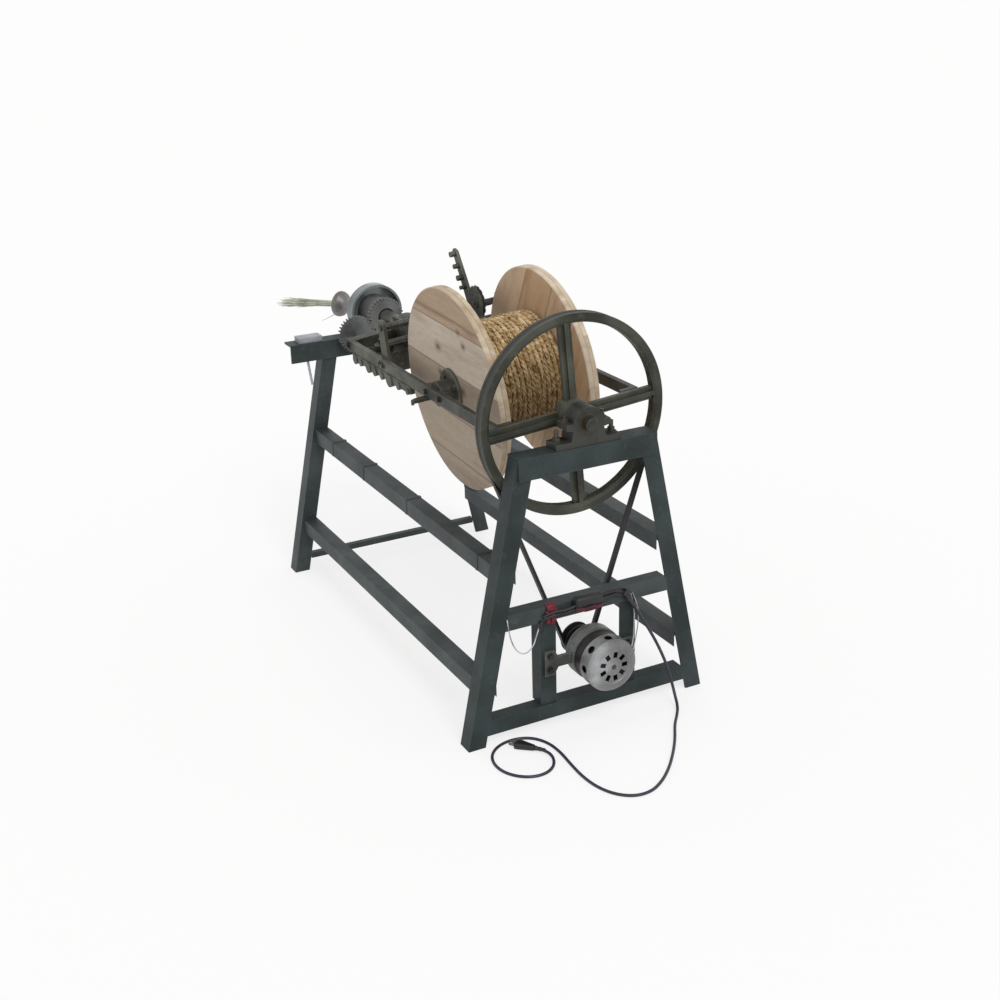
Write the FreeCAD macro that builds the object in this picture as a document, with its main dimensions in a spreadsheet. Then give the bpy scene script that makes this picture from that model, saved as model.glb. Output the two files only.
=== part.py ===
import FreeCAD, Part
import math
import os
import re
import Sketcher
from FreeCAD import Placement, Rotation, Vector

# Rope making machine. Millimetres, +Z up.
# Lengths along Y are measured from the rear stand's outer face, and the whole machine is then
# moved back by midY, so that the origin is on the floor under the middle of its outer box.

# Driving dimensions: alias, value, meaning
sizes = [
    ("standHigh", 660, "height of both trestles"),
    ("standSpan", 1105, "distance between the trestles' rear faces"),
    ("footHalf", 308, "half width of a trestle at the floor"),
    ("topHalf", 171, "half width of a trestle at its top"),
    ("frontBeamHalf", 270, "half length of the front beam"),
    ("ironWall", 5, "wall of the angle iron"),
    ("beamWide", 50, "leg of the beam's angle iron"),
    ("legWide", 42, "leg of the trestle legs' angle iron"),
    ("railWide", 38, "leg of the side rails' angle iron"),
    ("barWide", 36, "leg of the cross bars' angle iron"),
    ("postWide", 40, "leg of the motor posts' angle iron"),
    ("upperRailTop", 413, "height of the upper rails"),
    ("lowerRailTop", 155, "height of the lower rails"),
    ("midBarTop", 307, "height of the middle cross bar"),
    ("lowBarTop", 63, "height of the bottom cross bar"),
    ("tieTop", 50, "height of the front tie bar"),
    ("tieThick", 16, "side of the square front tie bar"),
    ("bandWide", 10, "width of a joint band on a rail"),
    ("bandProud", 1.2, "how far a joint band stands out"),
    ("postLeft", 122, "outer edge of the left motor post from the middle"),
    ("postRight", 125, "outer edge of the right motor post from the middle"),
    ("axisZ", 709, "height of the main axis"),
    ("wheelRad", 225, "outer radius of the belt wheel"),
    ("wheelY", 77, "middle plane of the belt wheel"),
    ("rimWide", 28, "width of the wheel's rim"),
    ("rimDeep", 21, "radial depth of the wheel's rim"),
    ("grooveWide", 16, "mouth of the belt groove"),
    ("grooveDeep", 12, "depth of the belt groove"),
    ("grooveFloor", 8, "width of the belt groove's floor"),
    ("spokeWide", 30, "width of a wheel spoke"),
    ("spokeThick", 10, "thickness of a wheel spoke"),
    ("ribWide", 9, "width of the rib on a spoke"),
    ("ribHigh", 24, "depth of the rib on a spoke"),
    ("hubRad", 38, "radius of the wheel's hub"),
    ("hubLong", 44, "length of the wheel's hub"),
    ("shaftRad", 15, "radius of the rear shaft"),
    ("bushWall", 6, "wall of the rear bush"),
    ("fitGap", 0.05, "radial running fit"),
    ("blockRad", 37, "outer radius of the rear bearing block"),
    ("blockLong", 44, "length of the rear bearing block"),
    ("blockBase", 160, "length of the bearing block's foot"),
    ("blockFoot", 14, "thickness of the bearing block's foot"),
    ("flyerTurn", 5, "how far the flyer stands turned, right bar up, in degrees"),
    ("barX", 172, "flyer bar's middle from the main axis"),
    ("barThick", 12, "thickness of a flyer bar"),
    ("barHigh", 28, "height of a flyer bar"),
    ("flyerEnd", 930, "front face of the flyer's crosshead"),
    ("crossThick", 30, "thickness of the crosshead"),
    ("crossRad", 40, "radius of the crosshead's middle boss"),
    ("spindleRad", 20, "outer radius of the hollow spindle"),
    ("spindleBore", 12, "bore of the hollow spindle"),
    ("spindleEnd", 1172, "front end of the hollow spindle"),
    ("headRad", 45, "radius of the front bearing's barrel"),
    ("headStart", 1092, "rear face of the front bearing's barrel"),
    ("headBush", 6, "wall of the front bush"),
    ("gearModule", 3, "module of the fixed gear and the planet"),
    ("sunTeeth", 32, "teeth of the fixed gear"),
    ("planetTeeth", 32, "teeth of the planet gear"),
    ("gearWide", 16, "width of the fixed gear"),
    ("planetWide", 14, "width of the planet gear"),
    ("planetShaft", 9, "radius of the planet's shaft"),
    ("guardRad", 75, "outer radius of the ring guard"),
    ("guardDeep", 36, "depth of the ring guard"),
    ("guardWall", 6, "wall of the ring guard"),
    ("drumRad", 50, "radius of the horn drive casing"),
    ("drumLong", 12, "length of the horn drive casing"),
    ("hornBase", 22, "horn bearing's middle from the main axis"),
    ("hornSeat", 14, "horn bearing's seat ahead of the casing's front"),
    ("hornSplay", 25, "degrees that a horn leans outwards"),
    ("hornRise", 3, "degrees that a horn leans upwards"),
    ("hornTube", 11, "outer radius of the horn's tube"),
    ("hornBore", 8.5, "bore of the horn's tube"),
    ("hornLong", 86, "length of a horn ahead of its bearing"),
    ("bellStart", 30, "where the horn's bell begins"),
    ("bellRad", 36, "radius of the horn's mouth"),
    ("bellWall", 2.5, "wall of the horn's bell"),
    ("strawLong", 246, "length of straw ahead of the horn's mouth"),
    ("strawRad", 8.2, "radius of the straw bundle in the horn"),
    ("strawSpread", 12, "radius of the straw bundle at its tips"),
    ("reelY", 405, "reel's middle"),
    ("flangeRad", 240, "radius of a reel flange"),
    ("flangeThick", 25, "thickness of a reel flange"),
    ("reelHalf", 126, "half width of the reel over its flanges"),
    ("packRad", 140, "outer radius of the wound rope"),
    ("ropeRad", 6, "radius of the rope"),
    ("ropePitch", 12.9, "rope's advance in one turn"),
    ("reelShaft", 14, "radius of the reel's shaft"),
    ("woodGap", 0.2, "gap between the wooden parts and the reel's shaft"),
    ("hubPlateRad", 52, "radius of the reel's hub plate"),
    ("hubPlateThick", 8, "thickness of the reel's hub plate"),
    ("hubSleeveRad", 26, "radius of the reel's hub sleeve"),
    ("bearingRad", 30, "radius of a reel bearing"),
    ("bearingLong", 20, "length of a reel bearing"),
    ("sideGap", 0.6, "gap between the hub sleeve and its bearing"),
    ("motorX", 12, "motor's middle to the right"),
    ("motorZ", 166, "motor's height"),
    ("motorRad", 62, "radius of the motor's end caps"),
    ("motorFront", -82, "motor's free end"),
    ("capDeep", 42, "depth of a motor cap"),
    ("capWall", 4, "wall of a motor cap"),
    ("statorLong", 32, "length of the stator's core"),
    ("statorBore", 36, "bore of the stator"),
    ("airGap", 0.6, "gap between rotor and stator"),
    ("motorShaft", 6, "radius of the motor's shaft"),
    ("pulleyRad", 38, "outer radius of the motor pulley"),
    ("pulleyWide", 22, "width of the motor pulley"),
    ("beltGap", 0.37, "gap between the belt and each side of its groove"),
    ("beltThick", 8, "thickness of the belt"),
    ("beltSeat", 1, "how far the belt's back stands in from the rim"),
    ("traverseY", 700, "traverse rods' place"),
    ("screwZ", 800, "height of the traverse screw"),
    ("rodZ", 760, "height of the guide rod"),
    ("screwRad", 9, "radius of the traverse screw"),
    ("rodRad", 7, "radius of the guide rod"),
    ("carriageX", 48, "carriage's middle at rest"),
    ("carriageWide", 36, "width of the carriage"),
    ("sheaveRad", 40, "radius of the guide wheel"),
    ("sheaveWide", 14, "width of the guide wheel"),
    ("sheaveY", 590, "guide wheel's middle"),
    ("sheaveZ", 842, "guide wheel's height"),
    ("armTopY", 716, "top of the guide arm, along Y"),
    ("armTopZ", 950, "top of the guide arm"),
    ("armThick", 8, "thickness of the guide arm"),
    ("rollerY", 845, "draw rollers' place"),
    ("rollerTeeth", 16, "teeth of a draw roller's gear"),
    ("rollerModule", 2.75, "module of the draw rollers' gears"),
    ("rollerShaft", 7, "radius of a draw roller's shaft"),
    ("rollerGap", 0.4, "gap between the draw rollers"),
    ("plateThick", 8, "thickness of a roller plate"),
    ("plateLeft", -45, "inner face of the left roller plate"),
    ("plateRight", 40, "inner face of the right roller plate"),
    ("plateBack", 815, "rear edge of the roller plates"),
    ("plateLow", 640, "lower edge of the roller plates"),
    ("plateTop", 762, "upper edge of the roller plates"),
    ("hookY", 446, "release hook's pivot"),
    ("cordRad", 3.5, "radius of the mains cord"),
    ("clipLong", 30, "length of the cord's clip"),
]

doc = FreeCAD.newDocument("RopeMachine")
sheet = doc.addObject("Spreadsheet::Sheet", "Dims")
for row, (alias, value, meaning) in enumerate(sizes, start=1):
    sheet.set("A%d" % row, alias)
    sheet.set("B%d" % row, str(value))
    sheet.set("C%d" % row, meaning)
    sheet.setAlias("B%d" % row, alias)
doc.recompute()

functionWords = {"sin", "cos", "tan", "sqrt", "atan", "acos", "asin", "abs", "min", "max", "pi"}


def link(text):
    # names in a size become references to the sheet
    def swap(found):
        word = found.group(0)
        return word if word in functionWords else "Dims." + word
    return re.sub(r"[A-Za-z]\w*", swap, str(text))


def num(text):
    value = sheet.evalExpression(link(text))
    return float(getattr(value, "Value", value))


# The straw's tip and the motor's free end bound the machine along Y
hornTilt = "(cos(hornSplay)*cos(hornRise))"
mouthY = "(spindleEnd + guardWall + drumLong + hornSeat - 10 + hornLong*%s)" % hornTilt
strawEndY = "(%s + strawLong*%s + strawSpread*sin(hornSplay))" % (mouthY, hornTilt)
midY = "((%s + motorFront)/2)" % strawEndY

finished = []
alongX = Rotation(Vector(0, 1, 0), 90)
alongY = Rotation(Vector(1, 0, 0), -90)
upright = Rotation()


def place(thing, x="0", y="0", z="0", turn=upright):
    thing.Placement = Placement(Vector(num(x), num("%s - %s" % (y, midY)), num(z)), turn)
    thing.setExpression(".Placement.Base.x", link(x))
    thing.setExpression(".Placement.Base.y", link("(%s) - %s" % (y, midY)))
    thing.setExpression(".Placement.Base.z", link(z))
    return thing


def keep(thing, label):
    thing.Label = label
    finished.append(thing)
    return thing


# Sketch based bodies

def newBody(label):
    return keep(doc.addObject("PartDesign::Body", label), label)


def sketchOn(body, role, lift="0"):
    sketch = body.newObject("Sketcher::SketchObject", body.Label + "_sketch")
    support = [item for item in body.Origin.OriginFeatures if item.Role == role][0]
    sketch.AttachmentSupport = [(support, "")]
    sketch.MapMode = "FlatFace"
    if lift != "0":
        sketch.setExpression(".AttachmentOffset.Base.z", link(lift))
    return sketch


def addOutline(sketch, points):
    # a closed outline of straight edges, each corner tied to the sheet
    first = sketch.GeometryCount
    spots = [Vector(num(x), num(y), 0) for x, y in points]
    for i, spot in enumerate(spots):
        sketch.addGeometry(Part.LineSegment(spot, spots[(i + 1) % len(spots)]), False)
    for i in range(len(spots)):
        following = first + (i + 1) % len(spots)
        sketch.addConstraint(Sketcher.Constraint("Coincident", first + i, 2, following, 1))
    for i, (x, y) in enumerate(points):
        for kind, size in (("DistanceX", x), ("DistanceY", y)):
            index = sketch.addConstraint(Sketcher.Constraint(kind, -1, 1, first + i, 1, num(size)))
            sketch.setExpression("Constraints[%d]" % index, link(size))


def addCircle(sketch, x, y, radius):
    circle = sketch.addGeometry(Part.Circle(Vector(num(x), num(y), 0), Vector(0, 0, 1), num(radius)), False)
    for kind, size in (("DistanceX", x), ("DistanceY", y)):
        index = sketch.addConstraint(Sketcher.Constraint(kind, -1, 1, circle, 3, num(size)))
        sketch.setExpression("Constraints[%d]" % index, link(size))
    index = sketch.addConstraint(Sketcher.Constraint("Radius", circle, num(radius)))
    sketch.setExpression("Constraints[%d]" % index, link(radius))


def feature(body, kind, sketch, length=None, reverse=False, middle=False):
    item = body.newObject("PartDesign::" + kind, body.Label + "_" + kind.lower())
    item.Profile = sketch
    if kind in ("Revolution", "Groove"):
        item.ReferenceAxis = (sketch, ["V_Axis"])
        item.Angle = 360
    elif length == "all":
        item.Type = 1
    else:
        item.setExpression("Length", link(length))
    item.Midplane = middle
    item.Reversed = reverse
    sketch.Visibility = False
    return item


def pad(body, role, outlines, length, lift="0", reverse=False, middle=False):
    sketch = sketchOn(body, role, lift)
    for outline in outlines:
        addOutline(sketch, outline)
    return feature(body, "Pad", sketch, length, reverse, middle)


def padCircles(body, role, circles, length, lift="0", reverse=False, middle=False):
    sketch = sketchOn(body, role, lift)
    for circle in circles:
        addCircle(sketch, *circle)
    return feature(body, "Pad", sketch, length, reverse, middle)


def pocket(body, role, outlines, length, lift="0", reverse=False, middle=False):
    sketch = sketchOn(body, role, lift)
    for outline in outlines:
        addOutline(sketch, outline)
    return feature(body, "Pocket", sketch, length, reverse, middle)


def drill(body, role, circles, length="all", lift="0", reverse=False, middle=False):
    sketch = sketchOn(body, role, lift)
    for circle in circles:
        addCircle(sketch, *circle)
    return feature(body, "Pocket", sketch, length, reverse, middle)


def turned(body, outline, kind="Revolution"):
    # outline points are radius and height, turned about the body's own Z axis
    sketch = sketchOn(body, "XZ_Plane")
    addOutline(sketch, outline)
    return feature(body, kind, sketch)


def around(body, items, count):
    pattern = body.newObject("PartDesign::PolarPattern", body.Label + "_pattern")
    pattern.Originals = items
    axis = [item for item in body.Origin.OriginFeatures if item.Role == "Z_Axis"][0]
    pattern.Axis = (axis, [""])
    pattern.Angle = 360
    pattern.Occurrences = int(count)
    body.Tip = pattern
    return pattern


def box(outline):
    # four corners of an upright rectangle from two opposite ones
    left, low, right, high = outline
    return [(left, low), (right, low), (right, high), (left, high)]


# Plain solids and their joins

def cylinder(name, radius, height):
    item = doc.addObject("Part::Cylinder", name)
    item.setExpression("Radius", link(radius))
    item.setExpression("Height", link(height))
    return item


def cone(name, low, high, height):
    item = doc.addObject("Part::Cone", name)
    item.setExpression("Radius1", link(low))
    item.setExpression("Radius2", link(high))
    item.setExpression("Height", link(height))
    return item


def block(name, x0, y0, z0, x1, y1, z1):
    item = doc.addObject("Part::Box", name)
    item.setExpression("Length", link("(%s) - (%s)" % (x1, x0)))
    item.setExpression("Width", link("(%s) - (%s)" % (y1, y0)))
    item.setExpression("Height", link("(%s) - (%s)" % (z1, z0)))
    return place(item, x0, y0, z0)


def joined(label, items):
    item = doc.addObject("Part::MultiFuse", label)
    item.Shapes = items
    item.Refine = True
    return item


def cutFrom(label, base, tool):
    item = doc.addObject("Part::Cut", label)
    item.Base = base
    item.Tool = tool
    return item


def grouped(label, items):
    item = doc.addObject("Part::Compound", label)
    item.Links = items
    return item


def boltHead(name, radius, high, stud="0"):
    # hexagon head or nut on a washer, with a stud's end above it if it has one
    washer = cylinder(name + "_washer", "%s*1.35" % radius, "1.6")
    head = doc.addObject("Part::Prism", name + "_hex")
    head.Polygon = 6
    head.setExpression("Circumradius", link(radius))
    head.setExpression("Height", link("1.6 + %s" % high))
    parts = [washer, head]
    if stud != "0":
        parts.append(cylinder(name + "_stud", "%s*0.55" % radius, "1.6 + %s + %s" % (high, stud)))
    return joined(name, parts)


# Trestles: legs, beams and bars of angle iron

def outer(z):
    return "(footHalf - (footHalf - topHalf)*(%s)/standHigh)" % z


def trestleLeg(label, side, y):
    top = "(standHigh - ironWall)"
    body = newBody(label)
    face = [(outer("0"), "0"), (outer(top), top),
            (outer(top) + " - legWide", top), (outer("0") + " - legWide", "0")]
    low, high = "(-1)", "(standHigh)"
    hollow = [(outer(low) + " - ironWall", low), (outer(high) + " - ironWall", high),
              (outer(high) + " - legWide - 2", high), (outer(low) + " - legWide - 2", low)]
    sided = [[("%s*(%s)" % (side, x), z) for x, z in outline] for outline in (face, hollow)]
    pad(body, "XZ_Plane", [sided[0]], "legWide", reverse=True)
    pocket(body, "XZ_Plane", [sided[1]], "all", lift="-ironWall")
    place(body, y=y)


for end, y in (("rear", "ironWall"), ("front", "standSpan + ironWall")):
    trestleLeg(end + "_leg_left", "-1", y)
    trestleLeg(end + "_leg_right", "1", y)


def angleBeam(label, half, wide, y):
    body = newBody(label)
    low = "standHigh - %s" % wide
    inner = "standHigh - ironWall"
    profile = [("0", low), ("0", "standHigh"), (wide, "standHigh"),
               (wide, inner), ("ironWall", inner), ("ironWall", low)]
    pad(body, "YZ_Plane", [profile], "2*%s" % half, middle=True)
    place(body, y=y)


angleBeam("rear_top_beam", "topHalf", "beamWide", "0")
angleBeam("front_top_beam", "frontBeamHalf", "beamWide", "standSpan")


def crossBar(label, top):
    # the bar's ends follow the legs' inner edges
    body = newBody(label)
    low = "(%s - barWide)" % top
    inner = "%s - legWide"
    face = [("-(%s)" % (inner % outer(low)), low), (inner % outer(low), low),
            (inner % outer(top), top), ("-(%s)" % (inner % outer(top)), top)]
    pad(body, "XZ_Plane", [face], "barWide", reverse=True)
    hollow = box(("-footHalf", "%s - 1" % low, "footHalf", "%s - ironWall" % top))
    pocket(body, "XZ_Plane", [hollow], "all", lift="-ironWall")
    place(body, y="ironWall")


crossBar("middle_cross_bar", "midBarTop")
crossBar("bottom_cross_bar", "lowBarTop")


def motorPost(label, side, edge):
    body = newBody(label)
    high = "midBarTop - ironWall"
    outline = box(("%s*%s" % (side, edge), "lowBarTop", "%s*(%s - postWide)" % (side, edge), high))
    pad(body, "XZ_Plane", [outline], "postWide", reverse=True)
    hollow = box(("%s*(%s - ironWall)" % (side, edge), "lowBarTop - 1",
                  "%s*(%s - postWide - 1)" % (side, edge), high + " + 1"))
    pocket(body, "XZ_Plane", [hollow], "all", lift="-ironWall")
    place(body, y="2*ironWall")


motorPost("motor_post_left", "-1", "postLeft")
motorPost("motor_post_right", "1", "postRight")


def sideRail(label, side, top, bands=()):
    # the outer edge runs inside the rear leg's corner and ends against the front leg
    body = newBody(label)
    start, end = "2*ironWall", "(standSpan + ironWall)"
    rear = "(%s - ironWall)" % outer(top)
    front = rear

    def strip(low, high, inset, wide):
        return [("%s*(%s - %s)" % (side, rear, inset), low), ("%s*(%s - %s)" % (side, front, inset), high),
                ("%s*(%s - %s)" % (side, front, wide), high), ("%s*(%s - %s)" % (side, rear, wide), low)]

    pad(body, "XY_Plane", [strip(start, end, "0", "railWide")], "railWide")
    if bands:
        marks = [strip(str(mark), "%s + bandWide" % mark, "(-bandProud)", "railWide - 2") for mark in bands]
        pad(body, "XY_Plane", marks, "railWide + bandProud")
    pocket(body, "XY_Plane", [strip(start + " - 1", end + " + 1", "ironWall", "railWide + 1")],
           "railWide - ironWall", reverse=True)
    place(body, z="%s - railWide" % top)


bandPlaces = (116, 495, 764, 978)
sideRail("upper_rail_left", "-1", "upperRailTop", bandPlaces)
sideRail("upper_rail_right", "1", "upperRailTop")
sideRail("lower_rail_left", "-1", "lowerRailTop")
sideRail("lower_rail_right", "1", "lowerRailTop")

tieHalf = "(%s - legWide)" % outer("tieTop")
keep(block("front_tie_bar", "-" + tieHalf, "standSpan + ironWall", "tieTop - tieThick",
           tieHalf, "standSpan + ironWall + tieThick", "tieTop"), "front_tie_bar")

# Rear bearing: a cast block on the rear beam with a bush for the shaft
blockY = "3"
rearBlock = newBody("rear_bearing")
shoulder = "(axisZ - standHigh)"
earLow, earTop, earX = shoulder + " - 12", shoulder + " + 4", "(blockRad + 17)"
pad(rearBlock, "XZ_Plane", [[("-blockBase/2", "0"), ("blockBase/2", "0"), ("blockBase/2", "blockFoot"),
                             ("blockRad + 5", "blockFoot"), ("blockRad + 1", earLow), (earX, earLow + " + 3"),
                             (earX, earTop), ("-" + earX, earTop), ("-" + earX, earLow + " + 3"),
                             ("-blockRad - 1", earLow), ("-blockRad - 5", "blockFoot"),
                             ("-blockBase/2", "blockFoot")]],
    "blockLong", reverse=True)
padCircles(rearBlock, "XZ_Plane", [("0", shoulder, "blockRad")], "blockLong", reverse=True)
drill(rearBlock, "XZ_Plane", [("0", shoulder, "shaftRad + bushWall")], "blockLong")
place(rearBlock, y=blockY, z="standHigh")


def bushRing(name, inner, wall, long, y):
    ring = cutFrom(name, cylinder(name + "_outside", "%s + %s" % (inner, wall), long),
                   cylinder(name + "_bore", "%s + fitGap" % inner, long))
    return place(ring, y=y, z="axisZ", turn=alongY)


rearBush = bushRing("rear_bush", "shaftRad", "bushWall", "blockLong", blockY)
frontBush = bushRing("front_bush", "spindleRad", "headBush", "spindleEnd - headStart", "headStart")
keep(grouped("shaft_bushes", [rearBush, frontBush]), "shaft_bushes")

# Front head: the barrel that carries the hollow spindle, on a foot on the front beam
head = newBody("head_casting")
headFoot = "(axisZ - standHigh)"
pad(head, "XZ_Plane", [[("-78", "0"), ("78", "0"), ("78", "12"), ("40", "14"), ("34", headFoot),
                        ("-34", headFoot), ("-40", "14"), ("-78", "12")]], "beamWide - 4", lift="-2", reverse=True)
padCircles(head, "XZ_Plane", [("0", headFoot, "headRad")], "spindleEnd - headStart",
           lift="standSpan - headStart", reverse=True)
drill(head, "XZ_Plane", [("0", headFoot, "spindleRad + headBush")], "spindleEnd - headStart",
      lift="standSpan - headStart")
place(head, y="standSpan", z="standHigh")

# Ring guard and closed horn drive casing, with a seat for each horn
hornSides = (("left", -1), ("right", 1))


def hornTurn(side):
    # the local Z axis is laid along the horn's own line
    splay = math.radians(num("hornSplay"))
    rise = math.radians(num("hornRise"))
    line = Vector(side * math.sin(splay) * math.cos(rise), math.cos(splay) * math.cos(rise), math.sin(rise))
    return Rotation(Vector(0, 0, 1), line)


def alongHorn(thing, side, distance):
    line = hornTurn(side).multVec(Vector(0, 0, 1))
    reach = num(distance)
    seatY = "spindleEnd + guardWall + drumLong - 10 + hornSeat"
    thing.Placement = Placement(Vector(0, 0, 0), hornTurn(side))
    place(thing, "%d*hornBase + (%r)" % (side, line.x * reach), seatY + " + (%r)" % (line.y * reach),
          "axisZ + (%r)" % (line.z * reach), hornTurn(side))
    return thing


guard = newBody("guard_shape")
finished.pop()
turned(guard, [("0", "0"), ("guardRad", "0"), ("guardRad", "guardDeep"), ("guardRad - guardWall", "guardDeep"),
               ("guardRad - guardWall", "guardWall"), ("0", "guardWall")])
place(guard, y="spindleEnd + guardWall", z="axisZ", turn=Rotation(Vector(1, 0, 0), 90))
drum = place(cylinder("drive_drum", "drumRad", "drumLong"), y="spindleEnd + guardWall", z="axisZ", turn=alongY)
seats = [alongHorn(cylinder("horn_seat_%s" % name, "hornTube + 7", "26"), side, "-16") for name, side in hornSides]
seatBores = [alongHorn(cylinder("horn_bore_%s" % name, "hornTube + fitGap", "30"), side, "-8")
             for name, side in hornSides]
guardGap = block("guard_gap", "-guardRad - 5", "spindleEnd + guardWall - guardDeep - 5", "standHigh - 50",
                 "guardRad + 5", "standSpan + beamWide + 2", "standHigh + 15")
hornCase = cutFrom("horn_drive_case", joined("horn_case_solid", [cutFrom("guard_ring", guard, guardGap), drum] + seats),
                   grouped("horn_case_bores", seatBores))
keep(hornCase, "horn_drive_case")

# Gears: a blank, one tooth and a polar pattern


def toothOutline(module, teeth, slack):
    # half thickness of an involute tooth at four radii, both flanks and the top land
    pitch = module * teeth / 2
    base = pitch * math.cos(math.radians(20))
    involute = math.tan(math.radians(20)) - math.radians(20)
    root = pitch - 1.25 * module

    def half(radius):
        lean = math.acos(min(1, base / radius))
        return math.pi / (2 * teeth) + involute - (math.tan(lean) - lean) - slack / radius

    radii = [root, max(base, root + 0.5), pitch, pitch + module * 0.55, pitch + module]
    halves = [half(max(radius, base)) for radius in radii]
    radii[0] = root - 0.6
    left = [Vector(r * math.cos(a), r * math.sin(a), 0) for r, a in zip(radii, halves)]
    right = [Vector(v.x, -v.y, 0) for v in reversed(left)]
    return left + right, root


def gearOn(body, module, teeth, width, lift="0"):
    points, root = toothOutline(num(module), int(num(teeth)), 0.14)
    blank = padCircles(body, "XY_Plane", [("0", "0", "%s*(%s/2 - 1.25)" % (module, teeth))], width, lift)
    sketch = sketchOn(body, "XY_Plane", lift)
    for i, spot in enumerate(points):
        sketch.addGeometry(Part.LineSegment(spot, points[(i + 1) % len(points)]), False)
    for i in range(len(points)):
        sketch.addConstraint(Sketcher.Constraint("Coincident", i, 2, (i + 1) % len(points), 1))
    tooth = feature(body, "Pad", sketch, width)
    around(body, [tooth], num(teeth))
    return blank


def aimed(degrees):
    # turn of a gear on the main line, whose first tooth then points that way in the XZ plane
    return alongY.multiply(Rotation(Vector(0, 0, 1), -degrees))


planetAim = 198
planetReach = "(gearModule*(sunTeeth + planetTeeth)/2)"
planetX = "(%s*cos(%d))" % (planetReach, planetAim)
planetZ = "(axisZ + %s*sin(%d))" % (planetReach, planetAim)

sun = newBody("fixed_gear")
gearOn(sun, "gearModule", "sunTeeth", "gearWide")
drill(sun, "XY_Plane", [("0", "0", "spindleRad + 4")], "all", middle=True)
place(sun, y="headStart - gearWide", z="axisZ", turn=aimed(planetAim + num("flyerTurn")))

planet = newBody("planet_gear")
gearOn(planet, "gearModule", "planetTeeth", "planetWide")
planetBack = "(flyerEnd - crossThick - 20)"
planetGearY = "(headStart - gearWide/2 - planetWide/2)"
padCircles(planet, "XY_Plane", [("0", "0", "planetShaft")], "%s - %s" % (planetGearY, planetBack), reverse=True)
padCircles(planet, "XY_Plane", [("0", "0", "planetShaft + 7")], "planetWide + 4")
halfTooth = 180 / num("planetTeeth")
place(planet, x=planetX, y=planetGearY, z=planetZ, turn=aimed(planetAim + 180 + halfTooth))
carried = [planet]      # all that the flyer carries, itself included

# Belt wheel: spokes with ribs, a grooved rim and a hub
wheel = newBody("belt_wheel")
carriedFrom = len(finished) - 1
spokeEnd = "wheelRad - rimDeep + 2"
spoke = pad(wheel, "XY_Plane", [box(("0", "-spokeWide/2", spokeEnd, "spokeWide/2"))], "spokeThick", middle=True)
rib = pad(wheel, "XY_Plane", [box(("0", "-ribWide/2", spokeEnd, "ribWide/2"))], "ribHigh", middle=True)
around(wheel, [spoke, rib], 4)
turned(wheel, [("wheelRad - rimDeep", "-rimWide/2 + 4"), ("wheelRad - rimDeep + 7", "-rimWide/2"),
               ("wheelRad", "-rimWide/2"), ("wheelRad", "-grooveWide/2"),
               ("wheelRad - grooveDeep", "-grooveFloor/2"), ("wheelRad - grooveDeep", "grooveFloor/2"),
               ("wheelRad", "grooveWide/2"), ("wheelRad", "rimWide/2"),
               ("wheelRad - rimDeep + 7", "rimWide/2"), ("wheelRad - rimDeep", "rimWide/2 - 4")])
turned(wheel, [("shaftRad + 1", "-hubLong/2"), ("hubRad - 6", "-hubLong/2"), ("hubRad", "-hubLong/4"),
               ("hubRad", "hubLong/4"), ("hubRad - 6", "hubLong/2"), ("shaftRad + 1", "hubLong/2")])
drill(wheel, "XY_Plane", [("0", "0", "shaftRad")], "2*hubLong", middle=True)
place(wheel, y="wheelY", z="axisZ", turn=alongY)

rearShaft = newBody("rear_shaft")
shaftStart, shaftLong = "-12", "(wheelY + hubLong/2 + 24)"
turned(rearShaft, [("0", "0"), ("shaftRad - 2", "0"), ("shaftRad", "2"), ("shaftRad", shaftLong),
                   ("shaftRad - 2", shaftLong + " + 2"), ("0", shaftLong + " + 2")])
place(rearShaft, y=shaftStart, z="axisZ", turn=alongY)

# Flyer: two long bars from the wheel's spokes to the crosshead
barStart = "(wheelY + spokeThick/2)"
ribClear = "(wheelY + ribHigh/2)"


def flyerBar(label, side):
    body = newBody(label)
    inside = "%d*(barX - barThick/2)" % side
    outside = "%d*(barX + barThick/2)" % side
    foot = "%d*(barX - barThick/2 - 30)" % side
    back = "%s + 12" % ribClear
    outline = [(outside, ribClear), (outside, "flyerEnd"), (inside, "flyerEnd"), (inside, back),
               (foot, back), (foot, ribClear)]
    pad(body, "XY_Plane", [outline], "barHigh", middle=True)
    hole = ("%d*barX" % side, "hookY", "4.05")
    if side < 0:
        drill(body, "XY_Plane", [hole], "barHigh/2 - 4", lift="-barHigh/2", reverse=True)
    place(body, z="axisZ")


flyerBar("flyer_bar_left", -1)
flyerBar("flyer_bar_right", 1)

crosshead = newBody("flyer_crosshead")
crossHalf = "barX - barThick/2"
pad(crosshead, "XZ_Plane", [[("-(%s)" % crossHalf, "-13"), ("-40", "-18"), ("40", "-18"), (crossHalf, "-13"),
                             (crossHalf, "13"), ("40", "18"), ("-40", "18"), ("-(%s)" % crossHalf, "13")]],
    "crossThick", reverse=True)
padCircles(crosshead, "XZ_Plane", [("0", "0", "crossRad")], "crossThick + 14", reverse=True)
padCircles(crosshead, "XZ_Plane", [("96", "0", "25")], "crossThick + 14", lift="14", reverse=True)
padCircles(crosshead, "XZ_Plane", [("96", "0", "12")], "24")
padCircles(crosshead, "XZ_Plane", [(planetX, planetZ + " - axisZ", "planetShaft + 9")], "crossThick + 84",
           reverse=True)
drill(crosshead, "XZ_Plane", [("0", "0", "spindleRad")], "crossThick + 90")
drill(crosshead, "XZ_Plane", [(planetX, planetZ + " - axisZ", "planetShaft + fitGap")], "crossThick + 90")
place(crosshead, y="flyerEnd - crossThick", z="axisZ")

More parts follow.
